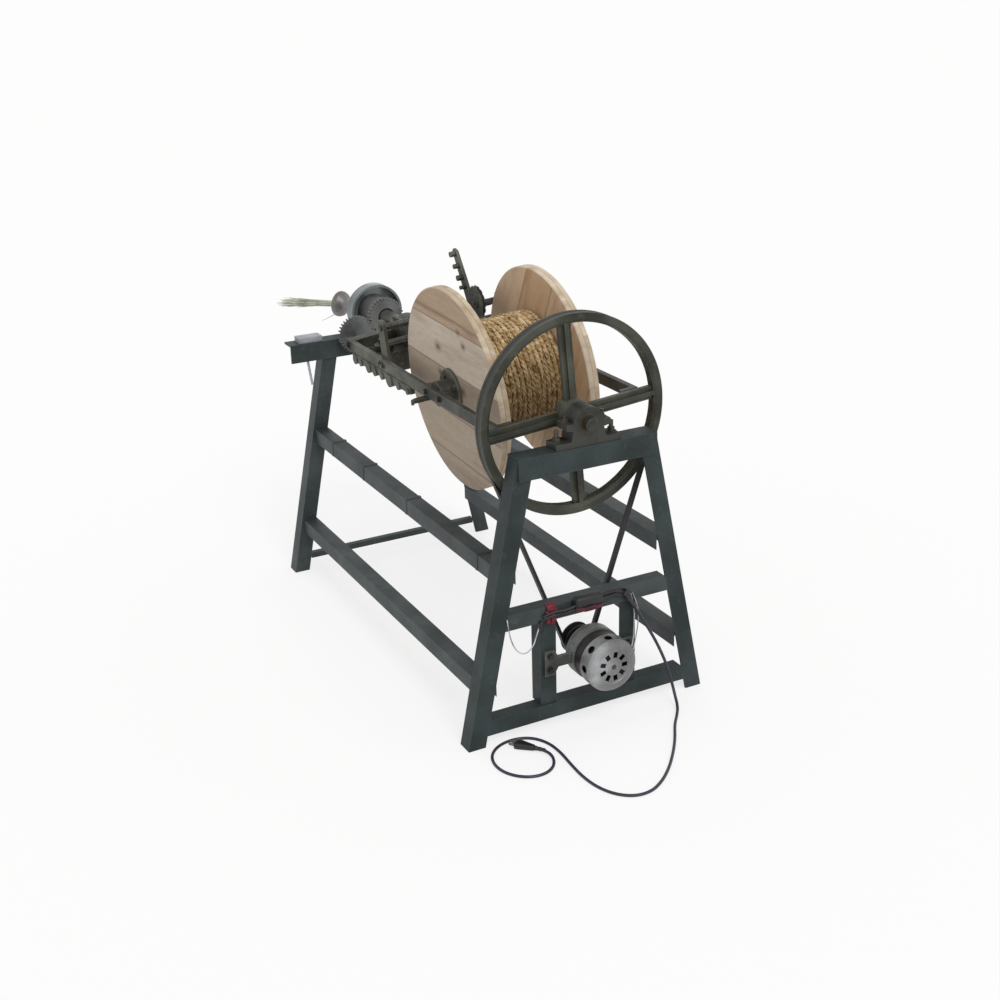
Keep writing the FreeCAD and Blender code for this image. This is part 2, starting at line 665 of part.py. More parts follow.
spindle = newBody("hollow_spindle")
spindleStart = "(flyerEnd - crossThick - 8)"
turned(spindle, [("spindleBore", "0"), ("spindleRad + 8", "0"), ("spindleRad + 8", "8"), ("spindleRad", "8"),
                 ("spindleRad", "spindleEnd - %s" % spindleStart), ("spindleBore", "spindleEnd - %s" % spindleStart)])
place(spindle, y=spindleStart, z="axisZ", turn=alongY)

# Draw rollers in a gearbox and an outer plate on the crosshead's rear face
crossBack = "(flyerEnd - crossThick)"
rollerReach = "(rollerModule*rollerTeeth/2)"
rollerLow = "(axisZ - %s)" % rollerReach
rollerHigh = "(axisZ + %s)" % rollerReach
gearbox = newBody("drive_gearbox")
pad(gearbox, "XZ_Plane", [[("-146", "plateLow + 8"), ("-138", "plateLow"), ("plateLeft", "plateLow"),
                           ("plateLeft", "plateTop"), ("plateLeft - plateThick", "plateTop"),
                           ("plateLeft - plateThick", "axisZ - 16"), ("-138", "axisZ - 16"), ("-146", "axisZ - 24")]],
    "%s - plateBack" % crossBack, reverse=True)
padCircles(gearbox, "XZ_Plane", [(planetX, planetZ, "17")], "7")
padCircles(gearbox, "XZ_Plane", [("-124", "plateLow + 14", "10")], "5")
coverX, coverY = "-104", "42"
padCircles(gearbox, "XY_Plane", [(coverX, coverY, "24")], "20", lift="axisZ - 20")
padCircles(gearbox, "XY_Plane", [(coverX, coverY, "12")], "34", lift="axisZ - 20")
drill(gearbox, "XZ_Plane", [(planetX, planetZ, "planetShaft + 1")], "21",
      lift="plateBack - %s" % crossBack, reverse=True)
drill(gearbox, "YZ_Plane", [("rollerY - plateBack", rollerLow, "rollerShaft + fitGap"),
                            ("rollerY - plateBack", rollerHigh, "rollerShaft + fitGap")],
      "2*(1 - plateLeft + plateThick)", middle=True)
place(gearbox, y="plateBack")

plate = newBody("roller_plate")
pad(plate, "YZ_Plane", [[("plateBack", "plateLow + 14"), ("plateBack + 14", "plateLow"), (crossBack, "plateLow"),
                         (crossBack, "plateTop"), ("plateBack + 14", "plateTop"), ("plateBack", "plateTop - 14")]],
    "plateThick")
drill(plate, "YZ_Plane", [("rollerY", rollerLow, "rollerShaft + fitGap"),
                          ("rollerY", rollerHigh, "rollerShaft + fitGap")], "4*plateThick", middle=True)
place(plate, x="plateRight")


def drawRoller(label, z, phase):
    # shaft from the left plate to the gear outside the right plate
    body = newBody(label)
    long = "(plateRight - plateLeft)"
    rim = "%s - rollerGap/2" % rollerReach
    groove = "%s - ropeRad" % rollerReach
    turned(body, [("0", "-plateThick"), ("rollerShaft", "-plateThick"), ("rollerShaft", "0.5"), (rim, "0.5"),
                  (rim, "-plateLeft - ropeRad - 2"), (groove, "-plateLeft - 3"), (groove, "-plateLeft + 3"),
                  (rim, "-plateLeft + ropeRad + 2"), (rim, long + " - 0.5"), ("rollerShaft", long + " - 0.5"),
                  ("rollerShaft", long + " + plateThick + 13"), ("0", long + " + plateThick + 13")])
    gearOn(body, "rollerModule", "rollerTeeth", "10", lift=long + " + plateThick + 1")
    place(body, x="plateLeft", y="rollerY", z=z, turn=alongX.multiply(Rotation(Vector(0, 0, 1), phase)))


drawRoller("draw_roller_lower", rollerLow, 0)
drawRoller("draw_roller_upper", rollerHigh, 180 / num("rollerTeeth"))

# Chain case under the left bar, with a boss over each guide roller
caseStart, caseEnd = 530, 890
caseLobes = [(546, 8), (600, 10), (655, 17), (700, 10), (745, 12), (786, 14), (835, 9), (872, 12)]
lobeZ = "(axisZ - barHigh/2 - 12)"
caseParts = [block("case_web", "-barX - 8", str(caseStart), "%s - 6" % lobeZ, "-barX + 4", str(caseEnd),
                   "axisZ - barHigh/2")]
for i, (lobeY, lobeRad) in enumerate(caseLobes):
    lobe = cylinder("case_lobe_%d" % i, str(lobeRad), "18")
    caseParts.append(place(lobe, x="-barX - 11", y=str(lobeY), z="%s - 2.1" % lobeZ, turn=alongX))
caseTrim = block("case_trim", "-barX - 30", str(caseStart - 30), "axisZ - barHigh/2", "-barX + 30",
                 str(caseEnd + 30), "axisZ")
keep(cutFrom("chain_case", joined("case_solid", caseParts), caseTrim), "chain_case")

# Reel bearings on the inner faces of the bars
for name, side in (("left", -1), ("right", 1)):
    bearing = newBody("reel_bearing_" + name)
    pad(bearing, "XY_Plane", [box(("-barHigh/2", "-48", "barHigh/2", "48"))], "9")
    padCircles(bearing, "XY_Plane", [("0", "0", "bearingRad")], "bearingLong")
    drill(bearing, "XY_Plane", [("0", "0", "reelShaft + fitGap")], "4*bearingLong", middle=True)
    facing = Rotation(Vector(0, 1, 0), 90 * -side)
    place(bearing, x="%d*(barX - barThick/2)" % side, y="reelY", z="axisZ", turn=facing)

# Reel: shaft with hub plates, core, flanges and the wound rope
reelShaft = newBody("reel_shaft")
endX = "(barX - barThick/2 - 1)"
sleeveX = "(barX - barThick/2 - bearingLong - sideGap)"
plateX = "(reelHalf + hubPlateThick)"
turned(reelShaft, [("0", "-" + endX), ("reelShaft", "-" + endX), ("reelShaft", "-" + sleeveX),
                   ("hubSleeveRad", "-" + sleeveX), ("hubSleeveRad", "-" + plateX), ("hubPlateRad - 3", "-" + plateX),
                   ("hubPlateRad", "3 - " + plateX), ("hubPlateRad", "-reelHalf"), ("reelShaft", "-reelHalf"),
                   ("reelShaft", "reelHalf"), ("hubPlateRad", "reelHalf"), ("hubPlateRad", plateX + " - 3"),
                   ("hubPlateRad - 3", plateX), ("hubSleeveRad", plateX), ("hubSleeveRad", sleeveX),
                   ("reelShaft", sleeveX), ("reelShaft", endX), ("0", endX)])
headSpot = ("hubPlateRad - 14", "0", "7")
hubBoltA = padCircles(reelShaft, "XY_Plane", [headSpot], "6", lift=plateX)
hubBoltB = padCircles(reelShaft, "XY_Plane", [headSpot], "6", lift="-" + plateX, reverse=True)
around(reelShaft, [hubBoltA, hubBoltB], 4)
place(reelShaft, y="reelY", z="axisZ", turn=alongX.multiply(Rotation(Vector(0, 0, 1), 63)))

coreHalf = "(reelHalf - flangeThick)"
core = newBody("reel_core")
turned(core, [("reelShaft + woodGap", "-" + coreHalf), ("packRad - 2*ropeRad - 0.5", "-" + coreHalf),
              ("packRad - 2*ropeRad - 0.5", coreHalf), ("reelShaft + woodGap", coreHalf)])
place(core, y="reelY", z="axisZ", turn=alongX)

for name, side in (("left", -1), ("right", 1)):
    flange = newBody("reel_flange_" + name)
    turned(flange, [("reelShaft + woodGap", "0"), ("flangeRad - 2", "0"), ("flangeRad", "2"), ("flangeRad", "flangeThick - 2"),
                    ("flangeRad - 2", "flangeThick"), ("reelShaft + woodGap", "flangeThick")])
    place(flange, x="-reelHalf" if side < 0 else coreHalf, y="reelY", z="axisZ", turn=alongX)


def bend(start, heading, end):
    # arc that leaves start along heading and ends at end, with its heading there
    chord = end - start
    lean = heading.getAngle(chord)
    if lean < 1e-6:
        return Part.LineSegment(start, end).toShape(), heading
    radius = chord.Length / (2 * math.sin(lean))
    across = (chord - heading * (chord.Length * math.cos(lean)))
    across.normalize()
    centre = start + across * radius
    middle = centre + (((start + end) * 0.5) - centre).normalize() * radius
    turn = Rotation(heading.cross(chord), math.degrees(2 * lean))
    return Part.Arc(start, middle, end).toShape(), turn.multVec(heading)


def biarc(startPoint, startHeading, endPoint, endHeading):
    # two arcs with a common heading where they join
    gap = endPoint - startPoint
    both = startHeading + endHeading
    spread = 2 * (1 - startHeading.dot(endHeading))
    reach = (-gap.dot(both) + math.sqrt(gap.dot(both) ** 2 + spread * gap.dot(gap))) / spread
    meeting = (startPoint + startHeading * reach + endPoint - endHeading * reach) * 0.5
    first, heading = bend(startPoint, startHeading, meeting)
    second, heading = bend(meeting, heading, endPoint)
    return [first, second]


def tubeAlong(edges, start, heading, radius, sides=0):
    # a round section, or one of a few flat sides where many turns repeat
    circle = Part.Circle(start, heading, radius)
    section = Part.Wire([circle.toShape()])
    if sides:
        section = Part.makePolygon([circle.value(2 * math.pi * i / sides) for i in range(sides + 1)])
    shell = Part.BRepOffsetAPI.MakePipeShell(Part.Wire(edges))
    shell.add(section)
    shell.build()
    shell.makeSolid()
    return shell.shape()


def windRope():
    # the outer layer: one tube that climbs along X by the pitch each turn
    radius = num("packRad - ropeRad")
    pitch = num("ropePitch")
    half = num(coreHalf) - num("ropeRad") - 0.6
    halfTurns = int(2 * 2 * half / pitch)
    climb = pitch / (2 * math.pi)
    startX = -halfTurns * pitch / 4

    def spot(angle):
        return Vector(startX + climb * angle, radius * math.cos(angle), radius * math.sin(angle))

    def heading(angle):
        return Vector(climb, -radius * math.sin(angle), radius * math.cos(angle)).normalize()

    tail = 2 * num("ropeRad")
    edges = [Part.LineSegment(spot(0) - heading(0) * tail, spot(0)).toShape()]
    for i in range(halfTurns):
        low, high = i * math.pi, (i + 1) * math.pi
        edges += biarc(spot(low), heading(low), spot(high), heading(high))
    last = halfTurns * math.pi
    edges.append(Part.LineSegment(spot(last), spot(last) + heading(last) * tail).toShape())
    marks = [edge.valueAt(edge.FirstParameter + (edge.LastParameter - edge.FirstParameter) * k / 8)
             for edge in edges for k in range(8)]
    gaps = [(a - b).Length for i, a in enumerate(marks) for b in marks[i + 20:]]
    print("wound rope: %.1f turns, least gap to itself %.2f mm" % (halfTurns / 2, min(gaps) - tail))
    return tubeAlong(edges, spot(0) - heading(0) * tail, heading(0), num("ropeRad"), sides=8)


wound = doc.addObject("Part::Feature", "wound_rope")
wound.Shape = windRope()
place(keep(wound, "wound_rope"), y="reelY", z="axisZ")

# Traverse: bracket plates and a guide rod, a reversing screw and the carriage
bracketX = "(barX - barThick/2)"
bracketOutline = [("traverseY - 20", "-barHigh/2"), ("traverseY + 20", "-barHigh/2"),
                  ("traverseY + 16", "screwZ - axisZ + 14"), ("traverseY + 9", "screwZ - axisZ + 19"),
                  ("traverseY - 9", "screwZ - axisZ + 19"), ("traverseY - 16", "screwZ - axisZ + 14")]
brackets = []
for name, side in (("left", -1), ("right", 1)):
    bracket = newBody("traverse_bracket_" + name)
    finished.pop()
    pad(bracket, "YZ_Plane", [bracketOutline], "8", reverse=side > 0)
    drill(bracket, "YZ_Plane", [("traverseY", "screwZ - axisZ", "screwRad - 2 + fitGap"),
                                ("traverseY", "rodZ - axisZ", "rodRad + fitGap")], "40", middle=True)
    brackets.append(place(bracket, x="%d*%s" % (side, bracketX), z="axisZ"))
guideRod = place(cylinder("guide_rod", "rodRad", "2*%s" % bracketX), x="-" + bracketX, y="traverseY", z="rodZ",
                 turn=alongX)
keep(grouped("traverse_frame", brackets + [guideRod]), "traverse_frame")

screw = newBody("traverse_screw")
screwHalf = "(%s - 8.5)" % bracketX
journal = "(%s + 4)" % bracketX
turned(screw, [("0", "-" + journal), ("screwRad - 2", "-" + journal), ("screwRad - 2", "-" + screwHalf),
               ("screwRad", "-" + screwHalf), ("screwRad", screwHalf), ("screwRad - 2", screwHalf),
               ("screwRad - 2", journal), ("0", journal)])
threadCuts = 15
threadStep = 280 / threadCuts
cut = turned(screw, [("screwRad - 1.6", "-142"), ("screwRad + 1", "-145"), ("screwRad + 1", "-139")], "Groove")
rings = screw.newObject("PartDesign::LinearPattern", "screw_rings")
rings.Originals = [cut]
rings.Direction = ([item for item in screw.Origin.OriginFeatures if item.Role == "Z_Axis"][0], [""])
rings.Length = threadStep * threadCuts
rings.Occurrences = threadCuts + 1
screw.Tip = rings
place(screw, y="traverseY", z="screwZ", turn=alongX)

carriage = newBody("traverse_carriage")
pad(carriage, "YZ_Plane", [[("-20", "rodZ - screwZ - 16"), ("20", "rodZ - screwZ - 16"), ("20", "12"), ("12", "18"),
                            ("-12", "18"), ("-20", "12")]], "carriageWide", middle=True)
sheaveGoY, sheaveGoZ = "(sheaveY - traverseY)", "(sheaveZ - screwZ)"
strapLift = "sheaveWide/2 + 2"
pad(carriage, "YZ_Plane", [[("-8", "-14"), ("-8", "16"), (sheaveGoY + " + 6", sheaveGoZ + " + 14"),
                            (sheaveGoY + " - 10", sheaveGoZ + " + 8"), (sheaveGoY + " - 10", sheaveGoZ + " - 8"),
                            (sheaveGoY + " + 6", sheaveGoZ + " - 14")]], "armThick", lift=strapLift)
armFootY, armFootZ = "(-52)", "24"
armTipY, armTipZ = "(armTopY - traverseY)", "(armTopZ - screwZ)"
pad(carriage, "YZ_Plane", [[(armFootY + " - 16", armFootZ + " - 8"), (armFootY + " + 12", armFootZ + " - 16"),
                            (armTipY + " + 3", armTipZ + " - 8"), (armTipY + " - 2", armTipZ),
                            (armTipY + " - 17", armTipZ + " - 4")]], "armThick", lift=strapLift)
lugPlaces = [(0.97, 7), (0.74, 6), (0.52, 7), (0.34, 5)]
lugSpots = []
for share, size in lugPlaces:
    lugY = "(%s + 2 + %r*(%s - 9 - (%s)))" % (armFootY, share, armTipY, armFootY)
    lugZ = "(%s - 4 + %r*(%s - 4 - %s))" % (armFootZ, share, armTipZ, armFootZ)
    lugSpots.append((lugY, lugZ, str(size)))
padCircles(carriage, "YZ_Plane", lugSpots, "13", lift=strapLift, reverse=True)
padCircles(carriage, "YZ_Plane", [(sheaveGoY, sheaveGoZ, "6")], "sheaveWide + 6", lift=strapLift, reverse=True)
drill(carriage, "YZ_Plane", [("0", "0", "screwRad + 0.3")], "2*carriageWide", middle=True)
drill(carriage, "YZ_Plane", [("0", "rodZ - screwZ", "rodRad + fitGap")], "2*carriageWide", middle=True)
place(carriage, x="carriageX", y="traverseY", z="screwZ")

sheave = newBody("guide_wheel")
turned(sheave, [("6 + fitGap", "-sheaveWide/2"), ("14", "-sheaveWide/2"), ("14", "3 - sheaveWide/2"),
                ("sheaveRad", "3 - sheaveWide/2"), ("sheaveRad - 9", "0"), ("sheaveRad", "sheaveWide/2 - 3"),
                ("14", "sheaveWide/2 - 3"), ("14", "sheaveWide/2"), ("6 + fitGap", "sheaveWide/2")])
notch = drill(sheave, "XY_Plane", [("sheaveRad + 2", "0", "4.5")], "2*sheaveWide", middle=True)
around(sheave, [notch], 14)
place(sheave, x="carriageX", y="sheaveY", z="sheaveZ", turn=alongX)

# Release hook under the left bar
hook = newBody("release_hook")
pad(hook, "XY_Plane", [[("14", "-9"), ("14", "9"), ("-30", "9"), ("-42", "3"), ("-48", "-11"), ("-42", "-14"),
                        ("-37", "-5"), ("-30", "-7")]], "8", reverse=True)
padCircles(hook, "XY_Plane", [("0", "0", "4")], "barHigh/2 - 5")
place(hook, x="-barX", y="hookY", z="axisZ - barHigh/2 - 0.3")
carried += finished[carriedFrom:]

# Motor: two vented end caps round a stator, with a rotor and a belt pulley
statorStart = "(motorFront + capDeep)"
capRings = [("0", "0"), ("8", "0"), ("12", "1.8"), ("39", "1.8"), ("41", "0.4"), ("motorRad - 12", "0.8"),
            ("motorRad - 4", "4"), ("motorRad", "11"), ("motorRad", "capDeep"),
            ("motorRad - capWall", "capDeep"), ("motorRad - capWall", "10"), ("motorRad - capWall - 6", "capWall")]


ventOutline = [("21", "-3"), ("24", "-4"), ("33", "-4.5"), ("35.5", "-3"), ("35.5", "3"), ("33", "4.5"), ("24", "4"),
               ("21", "3")]


def motorCap(label, middle):
    body = newBody(label)
    turned(body, capRings + middle)
    faceVent = pocket(body, "XY_Plane", [ventOutline], "30", middle=True)
    around(body, [faceVent], 9)
    sideVent = body.newObject("Sketcher::SketchObject", label + "_side")
    support = [item for item in body.Origin.OriginFeatures if item.Role == "YZ_Plane"][0]
    sideVent.AttachmentSupport = [(support, "")]
    sideVent.MapMode = "FlatFace"
    addCircle(sideVent, "0", "capDeep*0.58", "7.5")
    hole = feature(body, "Pocket", sideVent, "motorRad + 10", reverse=True)
    around(body, [hole], 8)
    return body


frontCap = motorCap("motor_front_cap", [("13", "capWall"), ("13", "16"), ("motorShaft + fitGap", "16"),
                                        ("motorShaft + fitGap", "6"), ("0", "6")])
place(frontCap, x="motorX", y="motorFront", z="motorZ", turn=alongY)
rearCap = newBody("motor_rear_cap")
rearRings = [("motorShaft + fitGap", "0")] + capRings[1:]
turned(rearCap, rearRings + [("13", "capWall"), ("13", "16"), ("motorShaft + fitGap", "16")])
rearVent = pocket(rearCap, "XY_Plane", [ventOutline], "30", middle=True)
around(rearCap, [rearVent], 9)
earDepth = "(capDeep + statorLong + capDeep + motorFront - 2*ironWall)"
earEnd = "-(postLeft + motorX - 8)"
earOutlines = [[(earEnd, "-30"), (earEnd + " + 24", "-30"), (earEnd + " + 34", "-13"), ("capWall - motorRad - 1", "-13"),
                ("capWall - motorRad - 1", "13"), (earEnd + " + 34", "13"), (earEnd + " + 24", "30"), (earEnd, "30")],
               box(("motorRad - capWall + 1", "-13", "postRight - motorX - 8", "13"))]
pad(rearCap, "XY_Plane", earOutlines, "7", lift=earDepth)
place(rearCap, x="motorX", y="motorFront + 2*capDeep + statorLong", z="motorZ",
      turn=Rotation(Vector(1, 0, 0), 90))

coreRing = cutFrom("stator_core", cylinder("stator_outside", "motorRad - capWall - 0.1", "statorLong"),
                   cylinder("stator_bore", "statorBore", "statorLong"))
place(coreRing, x="motorX", y=statorStart, z="motorZ", turn=alongY)
windings = []
for name, y in (("front", "%s - 14" % statorStart), ("rear", "%s + statorLong" % statorStart)):
    winding = cutFrom("winding_" + name, cylinder("winding_out_" + name, "motorRad - capWall - 5", "14"),
                      cylinder("winding_in_" + name, "statorBore + 3", "14"))
    windings.append(place(winding, x="motorX", y=y, z="motorZ", turn=alongY))
keep(grouped("motor_stator", [coreRing] + windings), "motor_stator")

rotor = newBody("motor_rotor")
shaftFrom, shaftTo = "7", "(wheelY + pulleyWide/2 + 8 - motorFront)"
rotorStart = "(capDeep - 2)"
rotorEnd = "(capDeep + statorLong + 2)"
turned(rotor, [("0", shaftFrom), ("motorShaft", shaftFrom), ("motorShaft", rotorStart),
               ("statorBore - airGap", rotorStart), ("statorBore - airGap", rotorEnd), ("motorShaft", rotorEnd),
               ("motorShaft", shaftTo), ("0", shaftTo)])
place(rotor, x="motorX", y="motorFront", z="motorZ", turn=alongY)

pulley = newBody("motor_pulley")
turned(pulley, [("motorShaft", "-pulleyWide/2"), ("pulleyRad", "-pulleyWide/2"), ("pulleyRad", "-grooveWide/2"),
                ("pulleyRad - grooveDeep", "-grooveFloor/2"), ("pulleyRad - grooveDeep", "grooveFloor/2"),
                ("pulleyRad", "grooveWide/2"), ("pulleyRad", "pulleyWide/2"), ("motorShaft", "pulleyWide/2")])
place(pulley, x="motorX", y="wheelY", z="motorZ", turn=alongY)

# Belt: a wedge section swept round both grooves


def beltShape():
    back = num("beltSeat")
    thick = num("beltThick")
    wheelPitch = num("wheelRad") - back - thick / 2
    pulleyPitch = num("pulleyRad") - back - thick / 2
    top = Vector(0, 0, num("axisZ"))
    low = Vector(num("motorX"), 0, num("motorZ"))
    line = low - top
    down = math.atan2(line.z, line.x)
    swing = math.acos((wheelPitch - pulleyPitch) / line.Length)

    def rimSpot(centre, radius, angle):
        return centre + Vector(radius * math.cos(angle), 0, radius * math.sin(angle))

    angles = (down - swing, down + swing)
    topLeft, topRight = [rimSpot(top, wheelPitch, angle) for angle in angles]
    lowLeft, lowRight = [rimSpot(low, pulleyPitch, angle) for angle in angles]
    path = Part.Wire([Part.LineSegment(lowLeft, topLeft).toShape(),
                      Part.Arc(topLeft, rimSpot(top, wheelPitch, down + math.pi), topRight).toShape(),
                      Part.LineSegment(topRight, lowRight).toShape(),
                      Part.Arc(lowRight, rimSpot(low, pulleyPitch, down), lowLeft).toShape()])
    outward = (topLeft - top).normalize()

    def wideAt(depth):
        # the belt's width at a depth below the rim follows the groove
        slope = (num("grooveWide") - num("grooveFloor")) / num("grooveDeep")
        return num("grooveWide") - slope * depth - 2 * num("beltGap")

    across = Vector(0, 1, 0)
    corners = [lowLeft + across * (share * wideAt(depth) / 2) + outward * (back + thick / 2 - depth)
               for share, depth in ((-1, back), (1, back), (1, back + thick), (-1, back + thick))]
    section = Part.makePolygon(corners + corners[:1])
    shell = Part.BRepOffsetAPI.MakePipeShell(path)
    shell.add(section)
    shell.build()
    shell.makeSolid()
    return shell.shape()


belt = doc.addObject("Part::Feature", "drive_belt")
belt.Shape = beltShape()
place(keep(belt, "drive_belt"), y="wheelY")

# Capacitor on the middle cross bar
capacitor = newBody("capacitor")
pad(capacitor, "XZ_Plane", [box(("-46", "midBarTop - 20", "52", "midBarTop + 13"))], "27")
capacitorY = "ironWall"
place(capacitor, y=capacitorY)

# Wiring: ties round the bar and two loose leads


def tubePath(points, radius, report=""):
    # straight runs joined by arcs that are as large as the runs allow
    spots = [Vector(*point) for point in points]
    edges = []
    bends = []
    current = spots[0]
    for i in range(1, len(spots) - 1):
        before = spots[i] - spots[i - 1]
        after = spots[i + 1] - spots[i]
        turn = before.getAngle(after)
        cutBack = 0.45 * min(before.Length, after.Length)
        bends.append(cutBack / math.tan(turn / 2))
        enter = spots[i] - before.normalize() * cutBack
        leave = spots[i] + after.normalize() * cutBack
        edges.append(Part.LineSegment(current, enter).toShape())
        arc, heading = bend(enter, (spots[i] - enter).normalize(), leave)
        edges.append(arc)
        current = leave
    edges.append(Part.LineSegment(current, spots[-1]).toShape())
    solid = tubeAlong(edges, spots[0], (spots[1] - spots[0]).normalize(), radius)
    length = sum(edge.Length for edge in edges)
    wanted = math.pi * radius ** 2 * length
    if report:
        print("%s: length %.0f mm, least radius %.1f mm, volume %.4f of section by length"
              % (report, length, min(bends), solid.Volume / wanted))
        print(report, "radii", [round(value) for value in bends])
    return solid


def tieBand(name, x, wide, low, high, front, back):
    solid = block(name + "_out", str(x), front + " - 2", low + " - 2", str(x + wide), back + " + 2", high + " + 2")
    hole = block(name + "_in", str(x - 1), front, low, str(x + wide + 1), back, high)
    return cutFrom(name, solid, hole)


barLow = "(midBarTop - barWide)"
ties = [tieBand("tie_left", -79, 10, barLow, "midBarTop", "ironWall", "2*ironWall + postWide"),
        tieBand("tie_middle", -14, 8, barLow, "midBarTop + 13", "ironWall - 27", "ironWall + barWide"),
        tieBand("tie_right", 34, 8, barLow, "midBarTop + 13", "ironWall - 27", "ironWall + barWide")]
leftLead = doc.addObject("Part::Feature", "lead_left")
leadY = 3
leftLead.Shape = tubePath([(-206, leadY, 300), (-203, leadY - 3, 262), (-188, leadY - 6, 224),
                           (-166, leadY - 6, 212), (-144, leadY - 4, 226), (-134, leadY - 1, 250),
                           (-124, leadY, 262)], 1.6)
place(leftLead)
rightLead = doc.addObject("Part::Feature", "lead_right")
rightLead.Shape = tubePath([(110, leadY, 270), (113, leadY - 0.6, 240), (118, leadY - 2, 204),
                            (116, leadY - 8, 168), (102, leadY - 16, 138), (78, leadY - 22, 126)], 1.6)
place(rightLead)

# Mains cord from the clip on the cross bar to the plug on the floor
floorZ = 3.7
cordRoute = [(102, -3, 276), (121, -3, 246.4), (138, -8, 214), (156, -12, 181), (173, -16, 145), (188, -21, 107),
             (199, -28, 66), (203, -40, 27), (195, -67, 6), (174, -94, floorZ), (146, -126, floorZ), (112, -178, floorZ),
             (74, -226, floorZ), (34, -270, floorZ), (-6, -304, floorZ), (-46, -326, floorZ), (-86, -324, floorZ),
             (-118, -298, floorZ), (-137, -256, floorZ), (-143, -206, floorZ), (-140, -150, floorZ),
             (-135, -98, floorZ), (-139, -50, floorZ), (-161, -13, floorZ), (-198, 1, floorZ), (-238, -5, floorZ),
             (-270, -30, floorZ), (-285, -68, floorZ), (-281, -108, floorZ), (-260, -140, floorZ),
             (-230, -157, floorZ), (-199, -156, floorZ), (-174, -139, floorZ), (-160, -112, 6),
             (-163, -84, 9), (-180, -62, 9)]
cordLine = (Vector(*cordRoute[1]) - Vector(*cordRoute[0])).normalize()
clipTurn = Rotation(Vector(0, 0, 1), cordLine)
clipBase = Vector(*cordRoute[0]) - cordLine * num("clipLong") - clipTurn.multVec(Vector(8, 8, 0))
cordClip = block("cord_clip", "0", "0", "0", "16", "16", "clipLong")
place(cordClip, repr(clipBase.x), repr(clipBase.y), repr(clipBase.z), clipTurn)
keep(grouped("motor_wiring", ties + [leftLead, rightLead, cordClip]), "motor_wiring")
cord = doc.addObject("Part::Feature", "mains_cord")
cord.Shape = tubePath(cordRoute, num("cordRad"), "mains cord")
place(keep(cord, "mains_cord"))
plugLine = (Vector(*cordRoute[-1]) - Vector(*cordRoute[-2]))
plugLine.z = 0



plugBody = newBody("mains_plug")
pad(plugBody, "XY_Plane", [[("0", "-6"), ("12", "-9"), ("16", "-13"), ("40", "-13"), ("44", "-10"), ("44", "10"),
                            ("40", "13"), ("16", "13"), ("12", "9"), ("0", "6")]], "17", middle=True)
pad(plugBody, "XY_Plane", [box(("43", "-7.3", "60", "-3.8")), box(("43", "3.8", "60", "7.3"))], "6", middle=True)
place(plugBody, x=str(cordRoute[-1][0]), y=str(cordRoute[-1][1]), z=str(cordRoute[-1][2]),
      turn=Rotation(Vector(1, 0, 0), plugLine))

# Feed tray on the front beam and its brace
tray = block("tray_plate", "-242", "standSpan + 8", "standHigh", "-176", "standSpan + beamWide - 4", "standHigh + 14")
brace = place(cylinder("brace_rod", "3.5", "112"), x="-214", y="standSpan + ironWall + 3.7", z="standHigh - 118",
              turn=Rotation(Vector(0, 0, 1), Vector(-0.12, 0, 1)))
keep(grouped("feed_tray", [tray, brace]), "feed_tray")

# Horns and straw
for name, side in hornSides:
    horn = newBody("horn_" + name)
    bore, tube = "hornBore", "hornTube"
    turned(horn, [(bore, "-7"), (tube, "-7"), (tube, "12"), (tube + " + 4", "12"), (tube + " + 4", "18"),
                  (tube, "22"), (tube, "bellStart"), ("bellRad*0.55", "hornLong - 26"), ("bellRad - 3", "hornLong - 12"),
                  ("bellRad", "hornLong - 4"), ("bellRad", "hornLong"), ("bellRad - bellWall", "hornLong"),
                  ("bellRad - 3 - bellWall", "hornLong - 10"), ("bellRad*0.55 - bellWall", "hornLong - 24"),
                  (bore, "bellStart + 4")])
    alongHorn(horn, side, "0")
straw = newBody("straw")
turned(straw, [("0", "6"), ("strawRad", "6"), ("strawRad", "bellStart + 2"), ("strawSpread", "hornLong + strawLong"),
               ("0", "hornLong + strawLong")])
alongHorn(straw, -1, "0")

# Fasteners


def headAt(name, radius, high, x, y, z, turn, stud="0"):
    return place(boltHead(name, radius, high, stud), x, y, z, turn)


down = Rotation(Vector(1, 0, 0), 180)
standBolts = []
for i, x in enumerate(("blockBase/2 - 12", "12 - blockBase/2")):
    standBolts.append(headAt("block_bolt_%d" % i, "9", "8", x, "%s + blockLong/2" % blockY,
                             "standHigh + blockFoot", upright, "16"))
for i, x in enumerate(("blockRad + 8", "-blockRad - 8")):
    standBolts.append(headAt("cap_bolt_%d" % i, "6", "6", x, "%s + blockLong/2" % blockY, "axisZ + 4", upright, "8"))
for i, x in enumerate(("64", "-64")):
    standBolts.append(headAt("head_bolt_%d" % i, "8", "7", x, "standSpan + beamWide/2", "standHigh + 13.2",
                             upright, "10"))
earY = "2*ironWall - 7"
for i, (x, z) in enumerate((("22 - postLeft", "motorZ - 17"), ("22 - postLeft", "motorZ + 17"),
                            ("postRight - 24", "motorZ"))):
    standBolts.append(headAt("motor_bolt_%d" % i, "6.5", "5", x, earY, z, Rotation(Vector(1, 0, 0), 90)))
keep(grouped("stand_bolts", standBolts), "stand_bolts")

